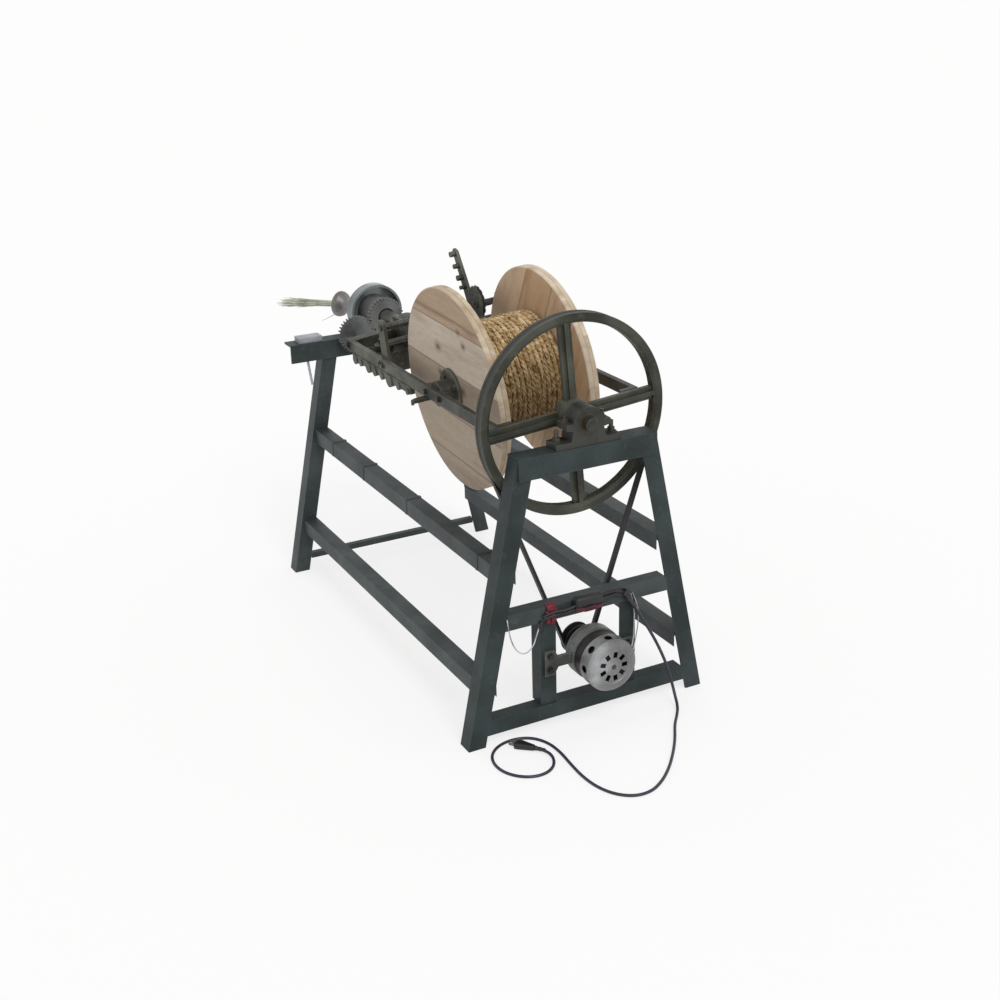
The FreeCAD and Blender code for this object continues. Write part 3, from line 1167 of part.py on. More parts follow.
flyerBolts = []
for side in (-1, 1):
    sideTurn = Rotation(Vector(0, 1, 0), 90 * side)
    face = "%d*(barX + barThick/2)" % side
    flyerBolts.append(headAt("foot_bolt_%d" % side, "6.5", "5", "%d*(barX - barThick/2 - 17)" % side,
                             "%s + 12" % ribClear, "axisZ", alongY))
    for k, y in enumerate(("flyerEnd - crossThick/2", "reelY - 36", "reelY + 36", "traverseY - 9", "traverseY + 9")):
        flyerBolts.append(headAt("bar_bolt_%d_%d" % (side, k), "6.5", "5", face, y, "axisZ", sideTurn))
carried.append(keep(grouped("flyer_bolts", flyerBolts), "flyer_bolts"))

doc.recompute()
faults = []
for item in doc.Objects:
    if "Invalid" in item.State or "Error" in item.State:
        faults.append("%s %s" % (item.Name, item.State))
for item in finished:
    if item.Shape.isNull() or not item.Shape.isValid() or not item.Shape.Solids:
        faults.append("%s has no valid solid" % item.Label)
if faults:
    raise RuntimeError("; ".join(faults))
os.makedirs("parts", exist_ok=True)
onFlyer = [item.Label for item in carried]
for item in finished:
    shape = item.Shape.copy()
    if item.Label in onFlyer:
        shape.rotate(Vector(0, 0, num("axisZ")), Vector(0, 1, 0), -num("flyerTurn"))
    shape.exportStep("parts/%s.step" % item.Label)
print("%d nodes, %d solids" % (len(finished), sum(len(item.Shape.Solids) for item in finished)))
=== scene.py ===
import math
import random

import bmesh
import bpy
from mathutils import Matrix, Vector, noise


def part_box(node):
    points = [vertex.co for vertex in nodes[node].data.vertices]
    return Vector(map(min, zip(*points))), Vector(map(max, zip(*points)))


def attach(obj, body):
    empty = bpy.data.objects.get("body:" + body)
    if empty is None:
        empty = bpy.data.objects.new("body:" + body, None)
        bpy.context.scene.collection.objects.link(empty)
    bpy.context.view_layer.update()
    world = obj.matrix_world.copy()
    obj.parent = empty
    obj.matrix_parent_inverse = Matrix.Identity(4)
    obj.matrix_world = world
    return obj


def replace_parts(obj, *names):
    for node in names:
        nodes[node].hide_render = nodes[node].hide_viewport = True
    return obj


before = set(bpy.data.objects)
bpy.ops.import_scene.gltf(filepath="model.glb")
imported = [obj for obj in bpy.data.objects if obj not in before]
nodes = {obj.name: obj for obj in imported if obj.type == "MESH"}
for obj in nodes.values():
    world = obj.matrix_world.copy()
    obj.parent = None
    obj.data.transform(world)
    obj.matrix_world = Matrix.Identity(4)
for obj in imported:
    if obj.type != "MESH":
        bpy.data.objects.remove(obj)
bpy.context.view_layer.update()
scene = bpy.context.scene
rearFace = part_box("rear_top_beam")[0].y      # lengths below are measured from this face
axisHigh = (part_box("belt_wheel")[0].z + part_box("belt_wheel")[1].z) / 2
print("frame loaded")


flyerTurn = math.radians(5)                  # the flyer stands turned by this, right bar up
reelAcross = Vector((math.cos(flyerTurn), 0, math.sin(flyerTurn)))
reelUp = Vector((-math.sin(flyerTurn), 0, math.cos(flyerTurn)))
reelMiddle = (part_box("reel_core")[0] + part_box("reel_core")[1]) / 2


def spot(x, y, z):
    return Vector((x, y + rearFace, z))


# Camera

camera = {"place": (-1.4627, -2.4411, 1.6700), "turn": 27.04, "tilt": -21.66, "roll": -1.56, "lens": 51.2}


def makeCamera(s):
    data = bpy.data.cameras.new("camera")
    data.lens = s["lens"]
    data.sensor_width = 36
    data.clip_end = 100
    item = bpy.data.objects.new("camera", data)
    scene.collection.objects.link(item)
    turn, tilt, roll = (math.radians(s[key]) for key in ("turn", "tilt", "roll"))
    ahead = Vector((math.sin(turn) * math.cos(tilt), math.cos(turn) * math.cos(tilt), math.sin(tilt)))
    right = Vector((math.cos(turn), -math.sin(turn), 0))
    up = right.cross(ahead)
    leanRight = right * math.cos(roll) + up * math.sin(roll)
    leanUp = up * math.cos(roll) - right * math.sin(roll)
    item.matrix_world = Matrix.Translation(spot(*s["place"])) @ Matrix(
        (leanRight, leanUp, -ahead)).transposed().to_4x4()
    scene.camera = item


makeCamera(camera)

# Small helpers for materials


def addNode(tree, kind, **values):
    item = tree.nodes.new(kind)
    for key, value in values.items():
        if key in item.inputs:
            item.inputs[key].default_value = value
        else:
            setattr(item, key, value)
    return item


def join(tree, *pairs):
    for start, end in pairs:
        tree.links.new(start, end)


def newMaterial(name, roughness=0.6, metallic=0.0, shine=0.5):
    material = bpy.data.materials.new(name)
    material.use_nodes = True
    tree = material.node_tree
    shader = tree.nodes["Principled BSDF"]
    shader.inputs["Roughness"].default_value = roughness
    shader.inputs["Metallic"].default_value = metallic
    shader.inputs["Specular IOR Level"].default_value = shine
    return material, tree, shader


def rgb(red, green, blue):
    # a colour as it looks on screen, made linear
    return tuple((c / 255 / 12.92 if c < 10.3 else ((c / 255 + 0.055) / 1.055) ** 2.4)
                 for c in (red, green, blue)) + (1.0,)


def ramp(tree, factor, stops):
    item = addNode(tree, "ShaderNodeValToRGB")
    while len(item.color_ramp.elements) < len(stops):
        item.color_ramp.elements.new(0.5)
    for element, (place, colour) in zip(item.color_ramp.elements, stops):
        element.position = place
        element.color = colour
    join(tree, (factor, item.inputs["Fac"]))
    return item


def noiseAt(tree, vector, scale, detail=4, roughness=0.55, distortion=0.0):
    item = addNode(tree, "ShaderNodeTexNoise", Scale=scale, Detail=detail, Roughness=roughness,
                   Distortion=distortion)
    join(tree, (vector, item.inputs["Vector"]))
    return item.outputs["Fac"]


def blendColour(tree, factor, first, second, kind="MIX"):
    item = addNode(tree, "ShaderNodeMix", data_type="RGBA", blend_type=kind)
    for socket, value in ((item.inputs["Factor"], factor), (item.inputs[6], first), (item.inputs[7], second)):
        if isinstance(value, (tuple, float, int)):
            socket.default_value = value
        else:
            join(tree, (value, socket))
    return item.outputs[2]


def maths(tree, kind, first, second=None, third=None):
    item = addNode(tree, "ShaderNodeMath", operation=kind)
    for socket, value in zip(item.inputs, (first, second, third)):
        if value is None:
            continue
        if isinstance(value, (float, int)):
            socket.default_value = value
        else:
            join(tree, (value, socket))
    return item.outputs[0]


def bumpOn(tree, shader, height, strength, distance):
    item = addNode(tree, "ShaderNodeBump", Strength=strength, Distance=distance)
    join(tree, (height, item.inputs["Height"]), (item.outputs["Normal"], shader.inputs["Normal"]))


def objectSpace(tree):
    return addNode(tree, "ShaderNodeTexCoord").outputs["Object"]


# Metal finishes

metals = {
    # the frame's one paint in two brightnesses: the darker copy is painted shade on the rear legs, rear top beam,
    # bottom bar and motor posts; the lighter copy is painted light on the front legs, front top beam, tie bar, rails
    # and middle bar
    "framePaintShaded": {"dark": (38, 46, 46), "main": (46, 54, 54), "light": (54, 62, 63), "dust": (70, 76, 74),
                   "edge": (88, 96, 95), "wear": 0.45, "rough": 0.5, "metal": 0.0, "shine": 0.18, "grain": 900,
                   "bump": 0.15},
    "framePaintLit": {"dark": (50, 57, 58), "main": (60, 66, 67), "light": (70, 76, 77), "dust": (84, 88, 86),
                   "edge": (104, 110, 108), "wear": 0.45, "rough": 0.5, "metal": 0.0, "shine": 0.22, "grain": 900,
                   "bump": 0.15},
    "machineIron": {"dark": (36, 36, 31), "main": (62, 62, 55), "light": (90, 90, 80), "dust": (116, 110, 92),
                    "edge": (136, 133, 120), "wear": 0.8, "rough": 0.5, "metal": 0.3, "shine": 0.4, "grain": 420,
                    "bump": 0.5},
    "headIron": {"dark": (54, 56, 56), "main": (90, 92, 92), "light": (120, 122, 120), "dust": (116, 112, 98),
                 "edge": (146, 146, 140), "wear": 0.8, "rough": 0.5, "metal": 0.3, "shine": 0.4, "grain": 420,
                 "bump": 0.5},
    "oilyIron": {"dark": (28, 29, 27), "main": (42, 43, 40), "light": (60, 61, 56), "dust": (74, 70, 60),
                 "edge": (98, 97, 90), "wear": 0.6, "rough": 0.48, "metal": 0.2, "shine": 0.3, "grain": 420,
                 "bump": 0.6},
    "wheelIron": {"dark": (42, 43, 36), "main": (58, 59, 50), "light": (76, 78, 68), "dust": (98, 92, 72),
                  "edge": (120, 120, 108), "wear": 0.6, "rough": 0.48, "metal": 0.25, "shine": 0.35, "grain": 420,
                  "bump": 0.45},
    "spokeIron": {"dark": (48, 51, 48), "main": (64, 68, 66), "light": (84, 88, 86), "dust": (98, 94, 80),
                  "edge": (120, 122, 114), "wear": 0.6, "rough": 0.48, "metal": 0.25, "shine": 0.35, "grain": 420,
                  "bump": 0.45},
    "wornSteel": {"dark": (66, 63, 58), "main": (108, 106, 100), "light": (150, 148, 142), "dust": (92, 84, 70),
                  "edge": (182, 180, 174), "wear": 0.6, "rough": 0.36, "metal": 0.8, "shine": 0.5, "grain": 700,
                  "bump": 0.2},
    "oiledSteel": {"dark": (34, 33, 30), "main": (54, 53, 48), "light": (78, 77, 70), "dust": (76, 70, 56),
                   "edge": (118, 116, 108), "wear": 0.5, "rough": 0.42, "metal": 0.5, "shine": 0.4, "grain": 700,
                   "bump": 0.3},
    "dullBronze": {"dark": (40, 34, 25), "main": (58, 50, 36), "light": (80, 69, 48), "dust": (66, 60, 48),
                   "edge": (112, 98, 70), "wear": 0.4, "rough": 0.45, "metal": 0.6, "shine": 0.4, "grain": 600,
                   "bump": 0.2},
    "motorAlloy": {"dark": (116, 117, 116), "main": (146, 147, 146), "light": (172, 173, 175),
                   "dust": (104, 99, 90), "edge": (206, 207, 210), "wear": 0.6, "rough": 0.38, "metal": 0.35,
                   "shine": 0.5, "grain": 800, "bump": 0.35},
    "grimyAlloy": {"dark": (52, 54, 51), "main": (82, 86, 83), "light": (118, 121, 119), "dust": (70, 64, 52),
                   "edge": (158, 160, 158), "wear": 0.8, "rough": 0.45, "metal": 0.35, "shine": 0.4, "grain": 500,
                   "bump": 0.6},
    "hornSteel": {"dark": (72, 69, 67), "main": (106, 103, 101), "light": (144, 142, 140), "dust": (90, 82, 72),
                  "edge": (176, 174, 172), "wear": 0.5, "rough": 0.4, "metal": 0.5, "shine": 0.5, "grain": 500,
                  "bump": 0.4},
    # the guard carries one round spot of painted reflection on its inner wall, above the axis
    "guardPaint": {"dark": (88, 96, 97), "main": (116, 124, 125), "light": (144, 151, 150), "dust": (140, 140, 128),
                   "edge": (184, 190, 186), "wear": 0.8, "rough": 0.4, "metal": 0.1, "shine": 0.5, "grain": 500,
                   "bump": 0.5, "wearAndPaintedReflection": [(0.004, 1.170, 0.056, 0.032)]},
    "trayZinc": {"dark": (146, 148, 156), "main": (172, 174, 182), "light": (192, 194, 200), "dust": (130, 128, 126),
                 "edge": (206, 208, 212), "wear": 0.3, "rough": 0.5, "metal": 0.2, "shine": 0.5, "grain": 700,
                 "bump": 0.3},
}
metals["motorFace"] = {**metals["motorAlloy"], "dark": (102, 103, 102), "main": (128, 129, 129), "vents": {
    "middle": (0.012, -0.082, 0.166), "count": 9, "from": 0.0215, "to": 0.0355, "half": 0.0052, "hub": 0.0062,
    "sideCount": 8, "sideAt": 0.0244, "sideSize": 0.0094, "sideFrom": 0.056}}


def paintedVentShade(tree, where, s):
    # painted shade in the openings: dark slots in a ring on the motor's face, its centre, and round holes along its
    # side
    away = addNode(tree, "ShaderNodeVectorMath", operation="SUBTRACT")
    away.inputs[1].default_value = spot(*s["middle"])
    parts = addNode(tree, "ShaderNodeSeparateXYZ")
    join(tree, (where, away.inputs[0]), (away.outputs[0], parts.inputs[0]))
    x, y, z = parts.outputs
    reach = maths(tree, "SQRT", maths(tree, "ADD", maths(tree, "MULTIPLY", x, x), maths(tree, "MULTIPLY", z, z)))
    angle = maths(tree, "DIVIDE", maths(tree, "ARCTAN2", z, x), 2 * math.pi)

    def around(count):
        # distance along the ring from the nearest of a number of even places
        share = maths(tree, "FRACT", maths(tree, "MULTIPLY_ADD", angle, count, count + 0.5))
        part = maths(tree, "ABSOLUTE", maths(tree, "SUBTRACT", share, 0.5))
        return maths(tree, "MULTIPLY", maths(tree, "MULTIPLY", part, 2 * math.pi / count), reach)

    slot = maths(tree, "MULTIPLY", maths(tree, "LESS_THAN", around(s["count"]), s["half"]),
                 maths(tree, "MULTIPLY", maths(tree, "GREATER_THAN", reach, s["from"]),
                       maths(tree, "LESS_THAN", reach, s["to"])))
    hub = maths(tree, "MULTIPLY", maths(tree, "LESS_THAN", reach, s["hub"]), 0.8)
    along = maths(tree, "SUBTRACT", y, s["sideAt"])
    ring = around(s["sideCount"])
    far = maths(tree, "SQRT", maths(tree, "ADD", maths(tree, "MULTIPLY", along, along),
                                    maths(tree, "MULTIPLY", ring, ring)))
    hole = maths(tree, "MULTIPLY", maths(tree, "LESS_THAN", far, s["sideSize"]),
                 maths(tree, "GREATER_THAN", reach, s["sideFrom"]))
    return maths(tree, "MAXIMUM", maths(tree, "MAXIMUM", slot, hub), hole)


def makeMetal(name, s):
    material, tree, shader = newMaterial(name, s["rough"], s["metal"], s["shine"])
    where = objectSpace(tree)
    cloud = noiseAt(tree, where, 9, 4, 0.5)
    tone = ramp(tree, cloud, [(0.36, rgb(*s["dark"])), (0.5, rgb(*s["main"])), (0.64, rgb(*s["light"]))])
    # dust and grime gather in patches
    patch = noiseAt(tree, where, 42, 8, 0.7)
    mask = ramp(tree, patch, [(0.54, (0, 0, 0, 1)), (0.72, (0.5, 0.5, 0.5, 1))])
    dusty = blendColour(tree, mask.outputs["Color"], tone.outputs["Color"], rgb(*s["dust"]))
    # corners are rubbed paler
    rounded = addNode(tree, "ShaderNodeBevel", samples=4, Radius=0.0022)
    plain = addNode(tree, "ShaderNodeNewGeometry")
    facing = addNode(tree, "ShaderNodeVectorMath", operation="DOT_PRODUCT")
    join(tree, (rounded.outputs[0], facing.inputs[0]), (plain.outputs["Normal"], facing.inputs[1]))
    corner = ramp(tree, facing.outputs["Value"], [(0.82, (1, 1, 1, 1)), (0.985, (0, 0, 0, 1))])
    wearAndPaintedReflection = ramp(tree, noiseAt(tree, where, 120, 4, 0.65), [(0.4, (0, 0, 0, 1)), (0.62, (1, 1, 1, 1))])
    wear = maths(tree, "MULTIPLY", maths(tree, "MULTIPLY", corner.outputs["Color"], s["wear"]),
                 maths(tree, "MULTIPLY_ADD", wearAndPaintedReflection.outputs["Color"], 0.7, 0.3))
    worn = blendColour(tree, wear, dusty, rgb(*s["edge"]))
    speck = ramp(tree, noiseAt(tree, where, 300, 3, 0.6), [(0.35, (0.8, 0.8, 0.8, 1)), (0.6, (1, 1, 1, 1))])
    colour = blendColour(tree, 0.7, worn, speck.outputs["Color"], "MULTIPLY")
    # a round spot of painted reflection, in the edge colour, at each listed place
    for x, y, high, size in s.get("wearAndPaintedReflection", []):
        away = addNode(tree, "ShaderNodeVectorMath", operation="DISTANCE")
        away.inputs[1].default_value = spot(x, y, axisHigh + high)
        join(tree, (where, away.inputs[0]))
        near = ramp(tree, maths(tree, "DIVIDE", away.outputs["Value"], size), [(0.5, (0.85, 0.85, 0.85, 1)),
                                                                              (1.0, (0, 0, 0, 1))])
        colour = blendColour(tree, near.outputs["Color"], colour, rgb(*s["edge"]))
    # the openings are painted near black: painted shade
    if "vents" in s:
        colour = blendColour(tree, paintedVentShade(tree, where, s["vents"]), colour, rgb(10, 10, 12))
    join(tree, (colour, shader.inputs["Base Color"]))
    fine = noiseAt(tree, where, s["grain"], 5, 0.6)
    height = maths(tree, "ADD", fine, maths(tree, "MULTIPLY", patch, 1.5))
    bumpOn(tree, shader, height, s["bump"], 0.0006)
    rough = maths(tree, "MULTIPLY_ADD", patch, 0.35, s["rough"] - 0.17)
    join(tree, (rough, shader.inputs["Roughness"]))
    return material


finish = {name: makeMetal(name, s) for name, s in metals.items()}


def makeBoards(name, s):
    # a flange of two plies of boards that cross: each board has its own tone, grain and seams
    material, tree, shader = newMaterial(name, 0.7)
    centre = addNode(tree, "ShaderNodeVectorMath", operation="SUBTRACT")
    centre.inputs[1].default_value = tuple(reelMiddle)
    level = addNode(tree, "ShaderNodeVectorRotate", rotation_type="Y_AXIS", Angle=flyerTurn)
    join(tree, (objectSpace(tree), centre.inputs[0]), (centre.outputs[0], level.inputs["Vector"]))
    own = addNode(tree, "ShaderNodeSeparateXYZ")
    join(tree, (level.outputs[0], own.inputs[0]))
    side = maths(tree, "ABSOLUTE", own.outputs["X"])
    outerPly = maths(tree, "GREATER_THAN", side, s["plyAt"])
    inner, outer = (math.radians(s[key]) for key in ("innerTurn", "outerTurn"))
    turned = addNode(tree, "ShaderNodeVectorRotate", rotation_type="X_AXIS")
    join(tree, (level.outputs[0], turned.inputs["Vector"]),
         (maths(tree, "MULTIPLY_ADD", outerPly, outer - inner, inner), turned.inputs["Angle"]))
    parts = addNode(tree, "ShaderNodeSeparateXYZ")
    join(tree, (turned.outputs[0], parts.inputs[0]))
    across = maths(tree, "MULTIPLY_ADD", parts.outputs["Z"], 1 / s["boardWide"], 3 - s["seamAt"] / s["boardWide"])
    board = maths(tree, "FLOOR", across)
    inBoard = maths(tree, "FRACT", across)
    pick = maths(tree, "MULTIPLY_ADD", board, 0.2, 0.1)
    boardTone = ramp(tree, pick, [(0.2 * k, rgb(*tone)) for k, tone in enumerate(s["boardTones"])])
    boardTone.color_ramp.interpolation = "CONSTANT"
    # long grain: slow streaks, fine lines and a few dark figures
    streak = addNode(tree, "ShaderNodeCombineXYZ")
    shift = maths(tree, "MULTIPLY", board, 1.37)
    join(tree, (maths(tree, "MULTIPLY_ADD", parts.outputs["X"], 6, shift), streak.inputs["X"]),
         (maths(tree, "MULTIPLY_ADD", parts.outputs["Y"], 1.6, shift), streak.inputs["Y"]),
         (maths(tree, "MULTIPLY", parts.outputs["Z"], 11), streak.inputs["Z"]))
    broad = noiseAt(tree, streak.outputs[0], 2.6, 4, 0.5, 0.7)
    fine = noiseAt(tree, streak.outputs[0], 24, 6, 0.65, 0.3)
    wash = ramp(tree, broad, [(0.34, (*s["figure"], 1)), (0.47, (0.95, 0.94, 0.93, 1)), (0.64, (1.07, 1.05, 1.03, 1))])
    toned = blendColour(tree, 0.85, boardTone.outputs["Color"], wash.outputs["Color"], "MULTIPLY")
    lines = ramp(tree, fine, [(0.36, (0.8, 0.76, 0.72, 1)), (0.54, (1, 1, 1, 1))])
    grained = blendColour(tree, 0.6, toned, lines.outputs["Color"], "MULTIPLY")
    colour = grained
    for y, z, size in s["knots"]:
        flat = addNode(tree, "ShaderNodeVectorMath", operation="MULTIPLY")
        flat.inputs[1].default_value = (0, 0.75, 1)
        away = addNode(tree, "ShaderNodeVectorMath", operation="DISTANCE")
        away.inputs[1].default_value = (0, 0.75 * y, z)
        join(tree, (level.outputs[0], flat.inputs[0]), (flat.outputs[0], away.inputs[0]))
        share = maths(tree, "MULTIPLY_ADD", fine, 0.12, maths(tree, "DIVIDE", away.outputs["Value"], 2.5 * size))
        reach = ramp(tree, share, [(0.22, (0.9, 0.9, 0.9, 1)), (0.42, (0.35, 0.35, 0.35, 1)), (0.8, (0, 0, 0, 1))])
        masked = maths(tree, "MULTIPLY", reach.outputs["Color"], outerPly)
        colour = blendColour(tree, masked, colour, rgb(*s["knot"]))
    levelParts = addNode(tree, "ShaderNodeSeparateXYZ")
    join(tree, (level.outputs[0], levelParts.inputs[0]))
    for high, slope, half in s["figureLines"]:
        # a brown line of heartwood that wanders along the grain
        path = maths(tree, "MULTIPLY_ADD", levelParts.outputs["Y"], slope, high - 0.012)
        wander = maths(tree, "MULTIPLY_ADD", broad, 0.024, path)
        away = maths(tree, "ABSOLUTE", maths(tree, "SUBTRACT", levelParts.outputs["Z"], wander))
        line = ramp(tree, maths(tree, "DIVIDE", away, 2 * half), [(0.1, (0.62, 0.62, 0.62, 1)), (1.0, (0, 0, 0, 1))])
        colour = blendColour(tree, maths(tree, "MULTIPLY", line.outputs["Color"], outerPly), colour, rgb(*s["knot"]))
    edge = maths(tree, "MINIMUM", inBoard, maths(tree, "SUBTRACT", 1, inBoard))
    seam = ramp(tree, edge, [(0.0, (0.8, 0.8, 0.8, 1)), (0.01, (0.55, 0.55, 0.55, 1)), (0.028, (0, 0, 0, 1))])
    seamed = blendColour(tree, seam.outputs["Color"], colour, rgb(*s["seam"]))
    # the sawn rim is creamy, with the joint between the plies
    reachOut = addNode(tree, "ShaderNodeVectorMath", operation="LENGTH")
    noSide = addNode(tree, "ShaderNodeVectorMath", operation="MULTIPLY")
    noSide.inputs[1].default_value = (0, 1, 1)
    join(tree, (level.outputs[0], noSide.inputs[0]), (noSide.outputs[0], reachOut.inputs[0]))
    onRim = maths(tree, "GREATER_THAN", reachOut.outputs["Value"], s["rimAt"])
    rimTone = blendColour(tree, ramp(tree, broad, [(0.35, (0, 0, 0, 1)), (0.62, (1, 1, 1, 1))]).outputs["Color"],
                          rgb(*s["rimDark"]), rgb(*s["rim"]))
    joint = maths(tree, "LESS_THAN", maths(tree, "ABSOLUTE", maths(tree, "SUBTRACT", side, s["plyAt"])), 0.0007)
    rimLined = blendColour(tree, maths(tree, "MULTIPLY", joint, 0.6), rimTone, rgb(*s["seam"]))
    final = blendColour(tree, onRim, seamed, rimLined)
    join(tree, (final, shader.inputs["Base Color"]))
    height = maths(tree, "SUBTRACT", maths(tree, "MULTIPLY", fine, 0.5), seam.outputs["Color"])
    bumpOn(tree, shader, height, 0.4, 0.0008)
    return material


def addNodeColour(tree, colour):
    parts = addNode(tree, "ShaderNodeSeparateColor")
    join(tree, (colour, parts.inputs[0]))
    return parts.outputs[0]


boards = {
    "boardWide": 0.11, "seamAt": 0.0445, "outerTurn": -2.5, "innerTurn": 62, "plyAt": 0.1135, "rimAt": 0.2375,
    "boardTones": [(160, 146, 130), (164, 150, 133), (156, 141, 125), (182, 170, 155), (166, 144, 120)],
    "figure": (0.84, 0.78, 0.72), "knot": (104, 74, 52), "seam": (112, 90, 72),
    "rim": (200, 184, 160), "rimDark": (164, 142, 116),
    "knots": [(0.056, 0.030, 0.008), (0.052, 0.093, 0.010), (-0.067, 0.153, 0.007), (-0.087, 0.125, 0.008),
              (-0.059, 0.011, 0.009)],
    "figureLines": [(0.1755, 0.055, 0.0042)],
}
finish["boardsLeft"] = makeBoards("boardsLeft", boards)
# the right flange takes a paler, yellower copy of the board, seam and rim tones: painted light, for the light on its
# inner face
finish["boardsRightLit"] = makeBoards("boardsRightLit", {
    **boards, "seamAt": 0.02, "innerTurn": 59, "figure": (0.8, 0.7, 0.6), "knots": [], "figureLines": [],
    "seam": (138, 110, 84),
    "boardTones": [(198, 168, 136), (192, 160, 126), (204, 176, 146), (196, 166, 132), (210, 184, 156)],
    "rim": (208, 192, 170), "rimDark": (178, 158, 132),
})


def makeFibre(name, s):
    # straw and straw rope: pale and brown fibres in patches
    material, tree, shader = newMaterial(name, s["rough"])
    where = objectSpace(tree)
    patch = noiseAt(tree, where, s["patch"], 4, 0.6)
    fine = noiseAt(tree, where, s["fine"], 4, 0.7)
    mixed = maths(tree, "ADD", maths(tree, "MULTIPLY", patch, 0.55), maths(tree, "MULTIPLY", fine, 0.45))
    tone = ramp(tree, mixed, [(place, rgb(*colour)) for place, colour in s["tones"]])
    colour = tone.outputs["Color"]
    if "paintedShadeAndDirt" in s:
        # darker and browner towards the bottom, full tone on top: painted shade, with some dirt
        parts = addNode(tree, "ShaderNodeSeparateXYZ")
        join(tree, (where, parts.inputs[0]))
        low, high = (axisHigh + v for v in s["paintedShadeAndDirt"])
        share = maths(tree, "DIVIDE", maths(tree, "SUBTRACT", parts.outputs["Z"], low), high - low)
        paintedShadeAndDirt = ramp(tree, share, [(0.0, (0.24, 0.19, 0.13, 1)), (0.5, (0.62, 0.57, 0.49, 1)), (1.0, (1, 1, 1, 1))])
        colour = blendColour(tree, 1.0, colour, paintedShadeAndDirt.outputs["Color"], "MULTIPLY")
    join(tree, (colour, shader.inputs["Base Color"]))
    bumpOn(tree, shader, fine, 0.6, 0.001)
    return material


fibres = {
    "ropeStraw": {"rough": 0.75, "patch": 70, "fine": 330, "paintedShadeAndDirt": (-0.13, 0.14),
                  "tones": [(0.37, (96, 68, 36)), (0.44, (146, 114, 70)), (0.5, (184, 154, 108)),
                            (0.57, (214, 190, 148)), (0.66, (236, 220, 188))]},
    "looseStraw": {"rough": 0.7, "patch": 50, "fine": 300, "paintedShadeAndDirt": (-0.13, 0.14),
                   "tones": [(0.36, (160, 128, 84)), (0.5, (216, 194, 150)), (0.66, (240, 228, 200))]},
    # the core under the strands is dark brown: painted shade in the gaps between the turns
    "innerRopePaintedShade": {"rough": 0.9, "patch": 60, "fine": 500,
                  "tones": [(0.35, (44, 28, 12)), (0.6, (74, 52, 26)), (0.75, (100, 74, 42))]},
    "dryStraw": {"rough": 0.6, "patch": 30, "fine": 300,
                 "tones": [(0.36, (132, 134, 116)), (0.46, (176, 177, 158)), (0.56, (206, 206, 190)),
                           (0.68, (226, 225, 212))]},
}
finish.update({name: makeFibre(name, s) for name, s in fibres.items()})


def makePlain(name, colour, roughness, grain, bump, spread=0.25):
    # rubber, plastic and tape: an even colour with faint cloud and fine grain
    material, tree, shader = newMaterial(name, roughness)
    where = objectSpace(tree)
    cloud = noiseAt(tree, where, 40, 5, 0.6)
    low = tuple(c * (1 - spread) for c in colour)
    high = tuple(min(255, c * (1 + spread)) for c in colour)
    tone = ramp(tree, cloud, [(0.35, rgb(*low)), (0.68, rgb(*high))])
    join(tree, (tone.outputs["Color"], shader.inputs["Base Color"]))
    bumpOn(tree, shader, noiseAt(tree, where, grain, 3), bump, 0.0004)
    return material


plains = {
    "beltRubber": ((26, 26, 28), 0.55, 900, 0.3),
    "cordRubber": ((34, 36, 52), 0.4, 1200, 0.15),
    "plugPlastic": ((24, 24, 28), 0.4, 900, 0.15),
    "capacitorCase": ((22, 23, 25), 0.5, 800, 0.2),
    "redCloth": ((98, 24, 40), 0.7, 1400, 0.5),
    "dullRedCloth": ((70, 22, 34), 0.7, 1400, 0.5),
    "greyLead": ((168, 168, 170), 0.5, 700, 0.2),
    "blackLead": ((17, 17, 20), 0.5, 900, 0.2),
    "pinSteel": ((112, 108, 100), 0.35, 900, 0.1),
    "windingVarnish": ((34, 29, 26), 0.5, 600, 0.5),
}
finish.update({name: makePlain(name, *s) for name, s in plains.items()})

paint = {
    # one frame paint, as a painted-shade copy and a painted-light copy
    "framePaintShaded": ["rear_leg_left", "rear_leg_right", "rear_top_beam", "bottom_cross_bar", "motor_post_left",
                   "motor_post_right"],
    "framePaintLit": ["middle_cross_bar", "front_leg_left", "front_leg_right", "front_top_beam", "front_tie_bar",
                   "upper_rail_left", "upper_rail_right", "lower_rail_left", "lower_rail_right"],
    "wheelIron": ["belt_wheel"],
    "spokeIron": ["flyer_bar_right"],
    "machineIron": ["flyer_bar_left", "flyer_crosshead", "drive_gearbox", "roller_plate", "chain_case",
                    "reel_bearing_left", "reel_bearing_right", "traverse_frame", "guide_wheel", "traverse_carriage",
                    "release_hook", "reel_shaft"],
    "headIron": ["head_casting", "fixed_gear", "planet_gear"],
    "oilyIron": ["rear_bearing", "rear_shaft", "motor_pulley"],
    "wornSteel": ["hollow_spindle", "motor_rotor"],
    "oiledSteel": ["traverse_screw", "draw_roller_lower", "draw_roller_upper", "stand_bolts",
                   "flyer_bolts"],
    "guardPaint": ["horn_drive_case"],
    "hornSteel": ["horn_left", "horn_right"],
    "trayZinc": ["feed_tray"],
    "dullBronze": ["shaft_bushes"],
    "motorFace": ["motor_front_cap"],
    "grimyAlloy": ["motor_rear_cap"],
    "windingVarnish": ["motor_stator"],
    "boardsLeft": ["reel_flange_left"],
    "boardsRightLit": ["reel_flange_right"],
    "innerRopePaintedShade": ["reel_core", "wound_rope"],
    "dryStraw": ["straw"],
    "beltRubber": ["drive_belt"],
    "cordRubber": ["mains_cord"],
    "plugPlastic": ["mains_plug"],
    "capacitorCase": ["capacitor"],
    "greyLead": ["motor_wiring"],
}
for name, group in paint.items():
    for node in group:
        nodes[node].data.materials.clear()
        nodes[node].data.materials.append(finish[name])
print("materials made")


